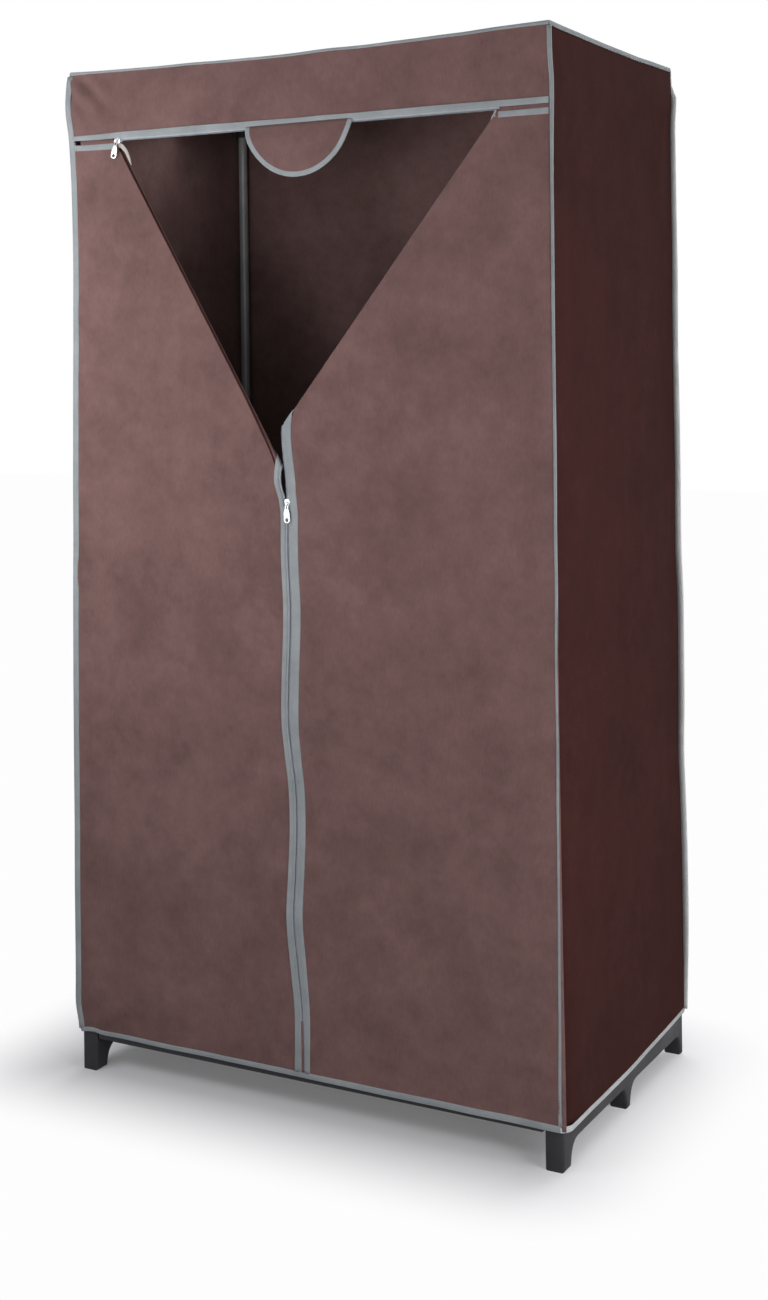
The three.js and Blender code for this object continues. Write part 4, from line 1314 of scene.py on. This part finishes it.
for side_name, side in SIDES:
    for end_name, end in (("front", -1), ("rear", 1)):
        wide = UPRIGHT_WIDTH[end_name, side][0][1]
        # The rear right binding takes the paler tape, which is painted light.
        tape = binding_painted_light if (end_name, side) == ("rear", 1) else binding_tape
        section = [(0, -2.6), *TAPE_WRAP, *tape_section(wide, 1.3)]
        stations = corner_line(side, end)
        name = f"corner_tape_{end_name}_{side_name}"
        strip = sweep(name, stations, section, tape)
        strip = stitched(name, strip, [station_line(stations, wide - 1.8, 1.1)])
        finish_piece(strip, "bias_binding", f"corner_binding_{end_name}_{side_name}")


# %% Top and hem bindings
def ring_path(height, corners, steps=70):
    """Points round the cover with rounded corners, as (point, outward way, height)."""
    found = []
    for k, (x0, y0, x1, y1) in enumerate(((-1, -1, 1, -1), (1, -1, 1, 1), (1, 1, -1, 1), (-1, 1, -1, -1))):
        length = 2 * (HALF_WIDTH if k % 2 == 0 else HALF_DEPTH)
        way = Vector((x1 - x0, y1 - y0)) / 2
        out = Vector((way.y, -way.x))
        a = Vector((x0 * HALF_WIDTH, y0 * HALF_DEPTH))
        count = round(steps * length / (2 * HALF_WIDTH))
        first, last = corners[k - 1], corners[k]
        for i in range(count + 1):
            run = first + (length - first - last) * i / count
            found.append((a + way * run, out))
        centre = a + way * (length - last) - out * last
        for i in range(1, 8):
            turn = Matrix.Rotation(math.pi / 2 * i / 8, 2)
            found.append((centre + (turn @ out) * last, turn @ out))
    return [(p, out, height(p.x, p.y)) for p, out in found]


def ring_binding(name, height, width, corners, section, seed, node, stitch):
    """A binding round the cover.

    corners are its radii at the front right, the rear right, the rear left and the front left."""
    stations = []
    path = ring_path(height, corners)
    length = 0
    last = path[0][0]
    for point, out, z in path:
        length += (point - last).length
        last = point
        near_corner = min(1, (HALF_WIDTH - abs(point.x)) / 40 + (HALF_DEPTH - abs(point.y)) / 40)
        z += 0.7 * wander(length, seed, 85) * near_corner
        down = Vector((0, 0, -width(point.x, point.y) / BINDING))
        stations.append((cover(point.x, point.y, z), down, Vector((out.x, out.y, 0))))
    strip = sweep(name, stations, section, binding_tape, closed=True)
    # The hem's right run takes the paler tape, which is painted light.
    if name == "hem_tape":
        strip.data.materials.append(binding_painted_light)
        beside = [int(f.center.x > (HALF_WIDTH - 6) * MM) for f in strip.data.polygons]
        strip.data.polygons.foreach_set("material_index", beside)
    strip = stitched(name, strip, [station_line(stations, *stitch, closed=True)])
    return finish_piece(strip, "bias_binding", node)


top_section = [(-0.1, -6), (-0.6, -5.6), (-0.9, -1.2), (-0.5, -0.2)]
top_section += [(p, q - SKIN + 0.1) for p, q in tape_section(BINDING, 1.3)]
top_section += [(BINDING - 0.5, -2.2), (1.2, -2.2), (1.0, -6)]
ring_binding("top_tape", lambda x, y: TOP - 0.4 - sag(x, y), top_width, (5, 5, 5, 5), top_section, 71,
             "top_binding", (BINDING - 1.8, 0.1))

hem_section = [(p, q - SKIN + 0.1) for p, q in tape_section(BINDING, 1.3)]
hem_section += [(BINDING - 0.4, -2.4), (BINDING * 0.4, -2.4), (BINDING * 0.3, -1.4)]
ring_binding("hem_tape", hem_height, hem_width, (16, 7, 7, 6), hem_section, 83, "hem_binding", (1.8, 0.1))

# %% [markdown]
# ## The zip tapes
# Each half of the zip is a woven tape with a grey binding over the cloth's edge. A half tape starts at
# the hem, follows the upright edge of its cloth over the fold, and then runs back along the top edge to
# the fold's other end. The strips are drawn on the flat pattern and folded with the cloth.

# %% Tape strips on the flat pattern
BAND_REACH = {
    -1: [(60, 13.2), (300, 13.2), (430, 12.4), (900, 12.9)],
    1: [(60, 13), (160, 13.5), (250, 15), (520, 15.4), (600, 17.4)],
}


def flat_line(side, inner, outer, z0, z1, step=6):
    """Pairs of flat points along the upright zip, from z0 to z1: (inner edge, outer edge).

    inner and outer are distances from the zip, or tables of them by height."""
    count = max(2, round((z1 - z0) / step))
    pairs = []
    for i in range(count + 1):
        z = z0 + (z1 - z0) * i / count
        edges = [through(reach, z) if isinstance(reach, list) else reach for reach in (inner, outer)]
        pairs.append(tuple(Vector((zip_line(z) + side * edge, z)) for edge in edges))
    return pairs


def flat_top(side, inner, outer, x0, x1, step=6):
    """Pairs of flat points along the top edge: (upper edge, lower edge)."""
    count = max(2, round(abs(x1 - x0) / step))
    return [(Vector((x0 + (x1 - x0) * i / count, ZIP_Z - inner)),
             Vector((x0 + (x1 - x0) * i / count, ZIP_Z - outer))) for i in range(count + 1)]


def roll_refined(fold, pairs):
    """More stations where a strip goes over the fold, so that it rolls smoothly."""
    fine = [pairs[0]]
    roll = fold.roll * FOLD_ANGLE + 4
    for a, b in zip(pairs, pairs[1:]):
        near = [fold.beyond(*p) for p in (*a, *b)]
        parts = 6 if min(near) < roll and max(near) > -8 else 1
        for k in range(1, parts + 1):
            fine.append(tuple(p.lerp(q, k / parts) for p, q in zip(a, b)))
    return fine


def folded_strip(name, side, pairs, section, material):
    """Carries a section, given as (share across, height), along pairs of flat points and folds it."""
    pairs = roll_refined(folds["left" if side < 0 else "right"], pairs)
    points = [front_point(side, *a.lerp(b, p), q) for a, b in pairs for p, q in section]
    return outwards(mesh_object(name, points, tube_faces(len(pairs), len(section)), material))


def strip_section(width, base, gauge, dent=0.3, inset=1.6, parts=8):
    """A strip's section as shares across: its upper face has enough points to bend over the fold."""
    rows = []
    for k in range(parts * 2 + 1):
        p = k / (parts * 2)
        edge = min(p, 1 - p) * width
        height = gauge * smooth_step(edge / 0.7 + 0.3) - dent * math.exp(-((edge - inset) / 0.6) ** 2)
        rows.append((p, base + height))
    return rows + [(1 - k / parts, base - 0.2) for k in range(parts + 1)]


def ribbed_section(width, base, gauge, ribs, parts=20):
    """The woven tape beside the coil, with ridges along its length."""
    rows = [(k / parts, base + gauge * (0.75 + 0.25 * math.cos(2 * math.pi * ribs * k / parts)))
            for k in range(parts + 1)]
    return rows + [(1 - k / 5, base - 0.3) for k in range(6)]


def facing_line(side, flats, height):
    """A line on the folded front through flat points, with the way that the cloth faces there."""
    line = []
    for flat in flats:
        low = front_point(side, *flat, height)
        line.append((low, (front_point(side, *flat, height + 1) - low).normalized()))
    return line


def zip_rows(name, side, line_pairs, share, height):
    """The spots of a row along a strip, at a share of the way across it."""
    pairs = roll_refined(folds[name], line_pairs)
    return facing_line(side, [a.lerp(b, share) for a, b in pairs], height)


def half_zip(name, side):
    """One side's binding, woven tape and coil, over the fold and back along the top edge."""
    reach = BAND_REACH[side]
    binding = strip_section(9.6, 0.5, 1.3)
    woven = ribbed_section(4.6, 0.1, 0.7, 2)
    low = HEM + BINDING - 1
    top_x = folds[name].top.x
    corner_x = zip_line(ZIP_Z)
    top_start, top_end = corner_x + side * 3, top_x - side * 6
    upright = flat_line(side, 1.3, 1.4, ZIP_FOOT_Z - 40, ZIP_Z - 3)
    level = flat_top(side, 1.3, 1.4, top_start, top_end)
    start = 0.5 if side < 0 else 1.0
    teeth = spaced(zip_rows(name, side, upright, 0, 0.9), TOOTH_PITCH, across=True, start=start)
    teeth += spaced(zip_rows(name, side, level, 0, 0.9), TOOTH_PITCH, across=True)
    seams = [zip_rows(name, side, flat_line(side, 6.2, 6.3, HEM + 14, ZIP_Z - 14), 0, 1.75),
             zip_rows(name, side, flat_top(side, 11, 11.1, corner_x + side * 14, top_end), 0, 1.75)]
    flap_binding = strip_section(8, 0.5, 1.3)
    parts = [
        folded_strip("a", side, flat_line(side, 4.6, reach, low, ZIP_Z - 12), binding, binding_tape),
        folded_strip("b", side, flat_line(side, 1.3, 5.4, low, ZIP_Z - 4), woven, zip_weave),
        folded_strip("c", side, flat_top(side, 4.6, 12.6, top_start, top_end), flap_binding,
                     binding_tape),
        folded_strip("d", side, flat_top(side, 1.3, 5.4, top_start, top_end), woven, zip_weave),
        repeats("teeth", teeth, tooth_shape, coil_nylon, 0.02),
    ]
    parts += [repeats("seam", spaced(line, STITCH_PITCH), stitch_shape, thread_spun) for line in seams]
    tape = joined(f"zip_tape_{name}", parts)
    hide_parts(f"front_zip_tape_{name}")
    folds[name].blend(tape, f"{name}_flap")
    return tape


zip_tapes = {name: half_zip(name, side) for name, side in SIDES}
print("zip tapes:", [len(t.data.polygons) for t in zip_tapes.values()])


# %% Header band and the sewn ends of the cross zip
def front_strip(name, x0, x1, low, high, base, gauge, material, seed, step=10, dent=0.3):
    """A level strip on the plain front from x0 to x1. low and high are tables of its edges by x."""
    count = round(abs(x1 - x0) / step)
    points, line = [], []
    section = strip_section(9, base, gauge, dent)
    for i in range(count + 1):
        x = x0 + (x1 - x0) * i / count
        wobble = 0.35 * wander(x, seed, 60)
        z0, z1 = through(low, x) + wobble, through(high, x) + wobble
        points += [cover(x, FRONT_Y - q, z1 + (z0 - z1) * p) for p, q in section]
        line.append((cover(x, FRONT_Y - base - gauge * 0.9, z0 + 1.8), Vector((0, -1, 0))))
    return outwards(mesh_object(name, points, tube_faces(count + 1, len(section)), material)), line


# The strips run to the upright bindings, and the right one is narrow.
left_end, right_end = -HALF_WIDTH + BINDING - 0.5, HALF_WIDTH - BINDING + 5
left_top, right_top = folds["left"].top.x, folds["right"].top.x
HEADER_LOW = [(-420, 1489), (-340, 1488), (-200, 1486.6), (0, 1486), (335, 1485.4), (420, 1485.2)]
HEADER_HIGH = [(-420, 1496.2), (-340, 1497), (-200, 1497.4), (0, 1495.6), (335, 1494.8), (420, 1494.4)]
lower = [(x, z - 3.2) for x, z in HEADER_LOW]
upper = [(x, z + 1) for x, z in HEADER_LOW]
band_strip, band_line = front_strip("a", left_end, right_end, HEADER_LOW, HEADER_HIGH, 0.6, 1.5,
                                    binding_tape, 91)
tape_strip, _ = front_strip("b", left_top, right_top, lower, upper, 0.1, 0.8, zip_weave, 92, dent=0)
coil_line = [(cover(x, FRONT_Y - 0.9, through(lower, x) - 0.4), Vector((0, -1, 0)))
             for x in range(round(left_top) + 12, round(right_top), 8)]
band = joined("header_band", [
    band_strip, tape_strip,
    repeats("teeth", spaced(coil_line, TOOTH_PITCH, across=True), tooth_shape, coil_nylon, 0.02),
    repeats("seam", spaced(band_line, STITCH_PITCH), stitch_shape, thread_spun),
])
finish_piece(band, "zip_tape", "header_zip_tape")

PANEL_LOW = {-1: [(-410, 1472.8), (-350, 1471.2)], 1: [(345, 1470.4), (410, 1470.2)]}
PANEL_HIGH = {-1: [(-410, 1482), (-350, 1480.6)], 1: [(345, 1478.6), (410, 1479.2)]}
for name, side in SIDES:
    corner_end = left_end if side < 0 else right_end
    strip, line = front_strip("panel_band", corner_end, folds[name].top.x - side * 1.5, PANEL_LOW[side],
                              PANEL_HIGH[side], 0.5, 1.3, binding_tape, 95 + side)
    strip = stitched(f"panel_band_{name}", strip, [line])
    finish_piece(strip, "bias_binding", f"panel_top_binding_{name}")

# %% [markdown]
# Beside each fold's top, a short end of the turned-in tape shows in the opening. On the left it leaves
# the slider and curls down along the fold. On the right only a thin edge shows.

# %% Tape ends at the folds
CURL_DEPTH = {"left": (-1.2, 0.8), "right": (0.5, 0.3)}
CURLS = {
    "left": [(-322, 1478, 6.5), (-314, 1474.5, 7), (-307.5, 1466.5, 6.5), (-303.2, 1457, 5),
             (-300.5, 1449, 3), (-299.2, 1444, 1)],
    "right": [(337.6, 1484, 2.2), (334.5, 1478.5, 3), (330.6, 1472, 3), (327.2, 1466, 1)],
}
for name, path in CURLS.items():
    stations = []
    first, step = CURL_DEPTH[name]
    for k, (x, z, wide) in enumerate(path):
        before, after = path[max(0, k - 1)], path[min(len(path) - 1, k + 1)]
        way = Vector((after[0] - before[0], 0, after[1] - before[1])).normalized()
        across = Vector((way.z, 0, -way.x))
        stations.append((at(x, FRONT_Y + first + step * k, z), across * wide / 7, Vector((0, -1, 0))))
    curl = sweep(f"tape_end_{name}", stations, [(p - 3.5, q) for p, q in tape_section(7, 1.0, dent=0.15)],
                 tape_end_weave)
    finish_piece(curl, "zip_tape")

# %% The patch at the zip's foot
def patch_place(u, v):
    z = HEM + BINDING + (ZIP_FOOT_Z - HEM - BINDING) * v
    x = zip_line(z) + drift(1, zip_line(z), z) + 4.4 * (u - 0.5) + 1.5 * (1 - v)
    return at(x, -HALF_DEPTH - 0.4 - 0.3 * math.sin(math.pi * u), z)


patch = outwards(sheet_mesh("zip_foot_patch", 4, 20, patch_place, cloth_front, 0.8))
finish_piece(patch, "cover_cloth", "zip_bottom_patch")

# %% [markdown]
# ## The tab
# A half-round of cloth hangs from the band over the place where the zips meet. Its curved edge is bound
# with the same grey tape. It is stiff enough to stand a few millimetres off the front, and its lower
# edge curls forward a little.

# %% Tab cloth and its binding
tab_low, tab_high = cover_box("tab_binding")
TAB_X = middle_of("centre_tab").x / MM
TAB_HALF = (tab_high[0] - tab_low[0]) / 2
TAB_BOTTOM = tab_low[2]
TAB_ROOT = BAND_LOW + 0.4
TAB_BINDING = 9


def tab_point(across, share, lift):
    """A place on the tab: across from its middle, share of its drop, lift in front of its cloth."""
    drop = share * (TAB_ROOT - TAB_BOTTOM)
    curl = 6.2 * math.sin(math.pi / 2 * min(1, drop / 26)) + 0.8 * (across / TAB_HALF) ** 2 * share
    wave = 0.8 * math.sin(across / 26 + 1) * min(1, drop / 40)
    return at(TAB_X + across, -HALF_DEPTH - 0.5 - curl - wave - lift, TAB_ROOT - drop)


def tab_half(share):
    """The tab's half width at a share of its drop, as a share of its whole half width."""
    return max(0, 1 - share ** 1.7) ** 0.5


def tab_cloth_place(u, v):
    share = math.sin(v * math.pi / 2 * 0.99)
    return tab_point((2 * u - 1) * (TAB_HALF - 3) * tab_half(share), 0.965 * share, 0)


def tab_edge_place(u, v):
    angle = math.pi * u
    inset = v * TAB_BINDING
    share = math.sin(angle)
    across = -math.copysign((TAB_HALF - inset) * tab_half(share), math.cos(angle))
    drop = (TAB_ROOT - TAB_BOTTOM - inset) * share
    pillow = 0.5 * math.sin(math.pi * v)
    return tab_point(across, drop / (TAB_ROOT - TAB_BOTTOM), 0.7 + pillow)


tab_cloth = outwards(sheet_mesh("tab_cloth", 40, 24, tab_cloth_place, cloth_front))
tab_edge = outwards(sheet_mesh("tab_edge_tape", 72, 6, tab_edge_place, binding_tape, 2.0))
for piece, node, slot in ((tab_cloth, "centre_tab", "cover_cloth"),
                          (tab_edge, "tab_binding", "bias_binding")):
    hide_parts(node)
    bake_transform(piece)
print("tab from", round(TAB_ROOT), "to", round(TAB_BOTTOM))

# %% [markdown]
# ## The sliders and their pulls
# Each slider is two small plates joined by a post, with the zip between them. Two ears on the front plate
# hold a pin, and a flat pull with a slot and a round hole hangs from it. Both are cast zinc.

# %% Sliders and pulls
PLATE_LONG = 13
PLATE_WIDE = 9.4
SLIDER_DROP = {"cross": 1.5, "front": 0}
PULL_TILT = {"cross": math.radians(12), "front": math.radians(-1)}
PLATE_OUT = {"cross": 1.6, "front": 1.1}
PULL_BOW = {"cross": 1.4, "front": 0}
PIN_OUT = 3.2
PULL_OUTLINE = [(1.5, 1.1), (1.5, -2.6), (2.0, -3.4), (2.9, -4.2), (3.0, -9.5), (4.1, -12), (5.1, -15),
                (5.1, -26)]
PULL_END, PULL_END_HIGH = PULL_OUTLINE[-1], 4.0
EAR_OUTLINE = [(-1.5, 1.0), (1.5, 1.0), (1.5, 2.9), (0.9, 3.9), (-0.9, 3.9), (-1.5, 2.9)]


def half_round(radius, middle, start, steps):
    """Half a circle about (0, middle), from the angle start."""
    turns = [start + math.pi * k / steps for k in range(steps + 1)]
    return [(radius * math.cos(a), middle + radius * math.sin(a)) for a in turns]


def teardrop(length, wide, narrow, steps=9):
    """A rounded outline from a narrow end below to a wide end above, about its middle."""
    return (half_round(wide / 2, (length - wide) / 2, 0, steps)
            + half_round(narrow / 2, (narrow - length) / 2, math.pi, steps))


def ring(radius, q, steps=16):
    return [(radius * math.cos(2 * math.pi * k / steps), q + radius * math.sin(2 * math.pi * k / steps))
            for k in range(steps)]


def slot_hole(half, top, bottom, steps=6):
    """A slot with round ends."""
    return half_round(half, top - half, 0, steps) + half_round(half, bottom + half, math.pi, steps)


def solid_pin(name, start, axis, radius, length, steps):
    profile = [(0.02, 0), (radius, 0), (radius, length), (0.02, length)]
    return turned(name, start, axis, profile, plated_zinc, steps)


def slider_piece(name, way):
    """A slider round its pull's pin; way is +X or +Z, towards its open end."""
    x, z = front_place(f"{name}_pull_swing")
    drop = SLIDER_DROP[name]

    def on_zip(p, q, h, out=0):
        along = Vector((q, p)) if way == "x" else Vector((p, q))
        return at(x + along.x, -HALF_DEPTH - out - h, z - drop + along.y)

    def facing(out):
        return lambda p, q, h: on_zip(p, q, h, out)

    body_outline = teardrop(PLATE_LONG, PLATE_WIDE, 6.4)
    out = PLATE_OUT[name]
    parts = [
        plate("front", body_outline, 1.3, 0.5, facing(out), plated_zinc, holes=[ring(1.9, 0)]),
        plate("back", body_outline, 1.2, 0.4, facing(-3.1), plated_zinc),
        turned("rim", on_zip(0, 0, out + 0.2), (0, -1, 0), [(1.9, 0), (3.1, 0), (2.8, 0.6), (2.2, 0.6)],
               plated_zinc, 24),
        solid_pin("post", on_zip(0, 3.6, -3.2), (0, -1, 0), 1.1, 4.2, 16),
    ]
    for side in (-1, 1):
        parts.append(plate("ear", EAR_OUTLINE, 0.9, 0.25,
                           lambda p, q, h: at(x + side * 2.35 + h, -HALF_DEPTH - q, z + p), plated_zinc))
    parts.append(solid_pin("pin", at(x - 2.7, -HALF_DEPTH - PIN_OUT, z), (1, 0, 0), 0.6, 5.4, 14))
    return finish_piece(joined(f"{name}_slider_casting", parts), "plated_zinc", f"slider_{name}",
                        body=f"{name}_slider")


def pull_piece(name):
    x, z = front_place(f"{name}_pull_swing")
    tilt = PULL_TILT[name]
    turns = [-math.pi * k / 10 for k in range(1, 10)]
    end = [(PULL_END[0] * math.cos(a), PULL_END[1] + PULL_END_HIGH * math.sin(a)) for a in turns]
    outline = PULL_OUTLINE + end + [(-p, q) for p, q in PULL_OUTLINE[::-1]]

    def hung(p, q, h):
        turned_p = p * math.cos(tilt) + q * math.sin(tilt)
        turned_q = q * math.cos(tilt) - p * math.sin(tilt)
        out = PIN_OUT + h + PULL_BOW[name] * smooth_step(-q / 9)
        return at(x + turned_p, -HALF_DEPTH - out, z + turned_q)

    flat = plate("flat", outline, 1.2, 0.35, hung, plated_zinc,
                 holes=[slot_hole(1.4, -2.7, -8.8), ring(2.9, -25.4)])
    barrel = turned("barrel", hung(-1.5, 0, 0), hung(1.5, 0, 0) - hung(-1.5, 0, 0),
                    [(0.7, 0), (1.0, 0), (1.2, 0.2), (1.2, 2.8), (1.0, 3.0), (0.7, 3.0)], plated_zinc, 20)
    return finish_piece(joined(f"{name}_pull_tab", [flat, barrel]), "plated_zinc", f"pull_{name}",
                        body=f"{name}_pull")


for name, way in (("cross", "x"), ("front", "z")):
    casting, pull = slider_piece(name, way), pull_piece(name)
    print(name, len(casting.data.polygons), len(pull.data.polygons))

# %% [markdown]


# %% [markdown]
# ## Light and floor
# A near soft box on the left lights the upper left of the front, a far one lights the rest, and one on
# the right lights the side. A wide soft box above the back draws the shadow forward on the floor. A weak
# lamp inside stands for the light that comes through the thin roof. The world gives a little ambient
# light, and shows as white behind the object.


# %% Lights, world and floor
def soft_box(name, place, aim, wide, high, power):
    lamp = bpy.data.lights.new(name, "AREA")
    lamp.shape = "RECTANGLE"
    lamp.size = wide
    lamp.size_y = high
    lamp.energy = power
    way = Vector(aim) - Vector(place)
    turn = way.to_track_quat("-Z", "Y").to_matrix().to_4x4()
    placed(name, lamp).matrix_world = Matrix.Translation(place) @ turn


soft_box("near left", (-0.8, -1.2, 1.21), (-0.3, -0.25, 1.6), 0.8, 0.8, 12.8)
soft_box("far front", (0.81, -3.54, 0.72), (0.3, -0.2, 0.34), 1.0, 1.0, 27)
soft_box("right", (1.75, -0.63, 0.75), (0.42, 0.0, 1.15), 0.9, 1.4, 18)
soft_box("inside", (-0.25, -0.05, 1.52), (-0.3, 0.1, 0.5), 0.25, 0.25, 0.26)
soft_box("overhead", (0.1, 1.3, 3.0), (0.1, -0.2, 0.2), 2.4, 1.6, 60)


def seen_ray(tree):
    """One where the ray comes from the camera, a mirror or glass, else zero."""
    path = add(tree, "ShaderNodeLightPath").outputs
    first = add(tree, "ShaderNodeMath", {0: path["Is Camera Ray"], 1: path["Is Glossy Ray"]},
                operation="MAXIMUM").outputs[0]
    return add(tree, "ShaderNodeMath", {0: first, 1: path["Is Transmission Ray"]},
               operation="MAXIMUM").outputs[0]


world = bpy.data.worlds.new("world")
bpy.context.scene.world = world
world.use_nodes = True
sky = world.node_tree
sky.nodes.clear()
AMBIENT = 0.09
strength = add(sky, "ShaderNodeMix", {"Factor": seen_ray(sky), 2: AMBIENT, 3: 1.0}).outputs[0]
background = add(sky, "ShaderNodeBackground", {"Color": (1, 1, 1, 1), "Strength": strength})
add(sky, "ShaderNodeOutputWorld", {"Surface": background.outputs[0]})

# The box of the painted shade round the base: how far its middle is moved, and half its size. Then half
# the floor's size.
SHADE_PAINT_SHIFT = (0.04, 0.01, 0)
SHADE_PAINT_HALF = (0.40, 0.23, 0)
FLOOR_HALF = 12

# The floor looks white and throws back only a little light. Near the base it is plain diffuse, so it holds
# the real shadow, and its glow fades out towards the base, which paints shade there too. Away from it,
# it glows white like the world behind.
floor_shade_paint, tree, shader, place = new_material("studio floor")
seen = seen_ray(tree)
colour = add(tree, "ShaderNodeMix", {"Factor": seen, 6: linear("#6e6a6a"), 7: linear("#f4f4f8")},
             data_type="RGBA")
surface(tree, shader, colour.outputs[2], Roughness=0.9, Specular_IOR_Level=0)
reach = place
for operation, other in (("ADD", SHADE_PAINT_SHIFT), ("ABSOLUTE", (0, 0, 0)), ("SUBTRACT", SHADE_PAINT_HALF),
                         ("MAXIMUM", (0, 0, 0))):
    reach = add(tree, "ShaderNodeVectorMath", {0: reach, 1: other}, operation=operation).outputs[0]
distance = add(tree, "ShaderNodeVectorMath", {0: reach}, operation="LENGTH").outputs["Value"]
# The glow fades out near the base, which is painted shade beside the real shadow.
far = add(tree, "ShaderNodeMapRange", {"Value": distance, "From Min": -0.06, "From Max": 0.23},
          interpolation_type="SMOOTHSTEP")
glow = add(tree, "ShaderNodeMath", {0: far.outputs[0], 1: seen}, operation="MULTIPLY").outputs[0]
shine = add(tree, "ShaderNodeEmission", {"Color": linear("#fefdfe"), "Strength": 1.0})
mixed = add(tree, "ShaderNodeMixShader", {0: glow, 1: shader.outputs[0], 2: shine.outputs[0]})
output = next(n for n in tree.nodes if n.type == "OUTPUT_MATERIAL")
tree.links.new(mixed.outputs[0], output.inputs["Surface"])
points = [Vector((x, y, 0)) * FLOOR_HALF for x, y in ((-1, -1), (1, -1), (1, 1), (-1, 1))]
studio_floor = mesh_object("studio_floor", points, [(0, 1, 2, 3)], floor_shade_paint)
studio_floor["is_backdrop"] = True

bpy.context.scene.view_settings.view_transform = "Standard"

# %% [markdown]
# ## Sizes
# The imported model's box and the finished object's box, printed.

# %% Print the sizes
done_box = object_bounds()
boxes = {"packed": [list(c) for c in cad_box], "finished": [list(c) for c in done_box]}
for name, box in boxes.items():
    print(name, [[round(c, 4) for c in corner] for corner in box])
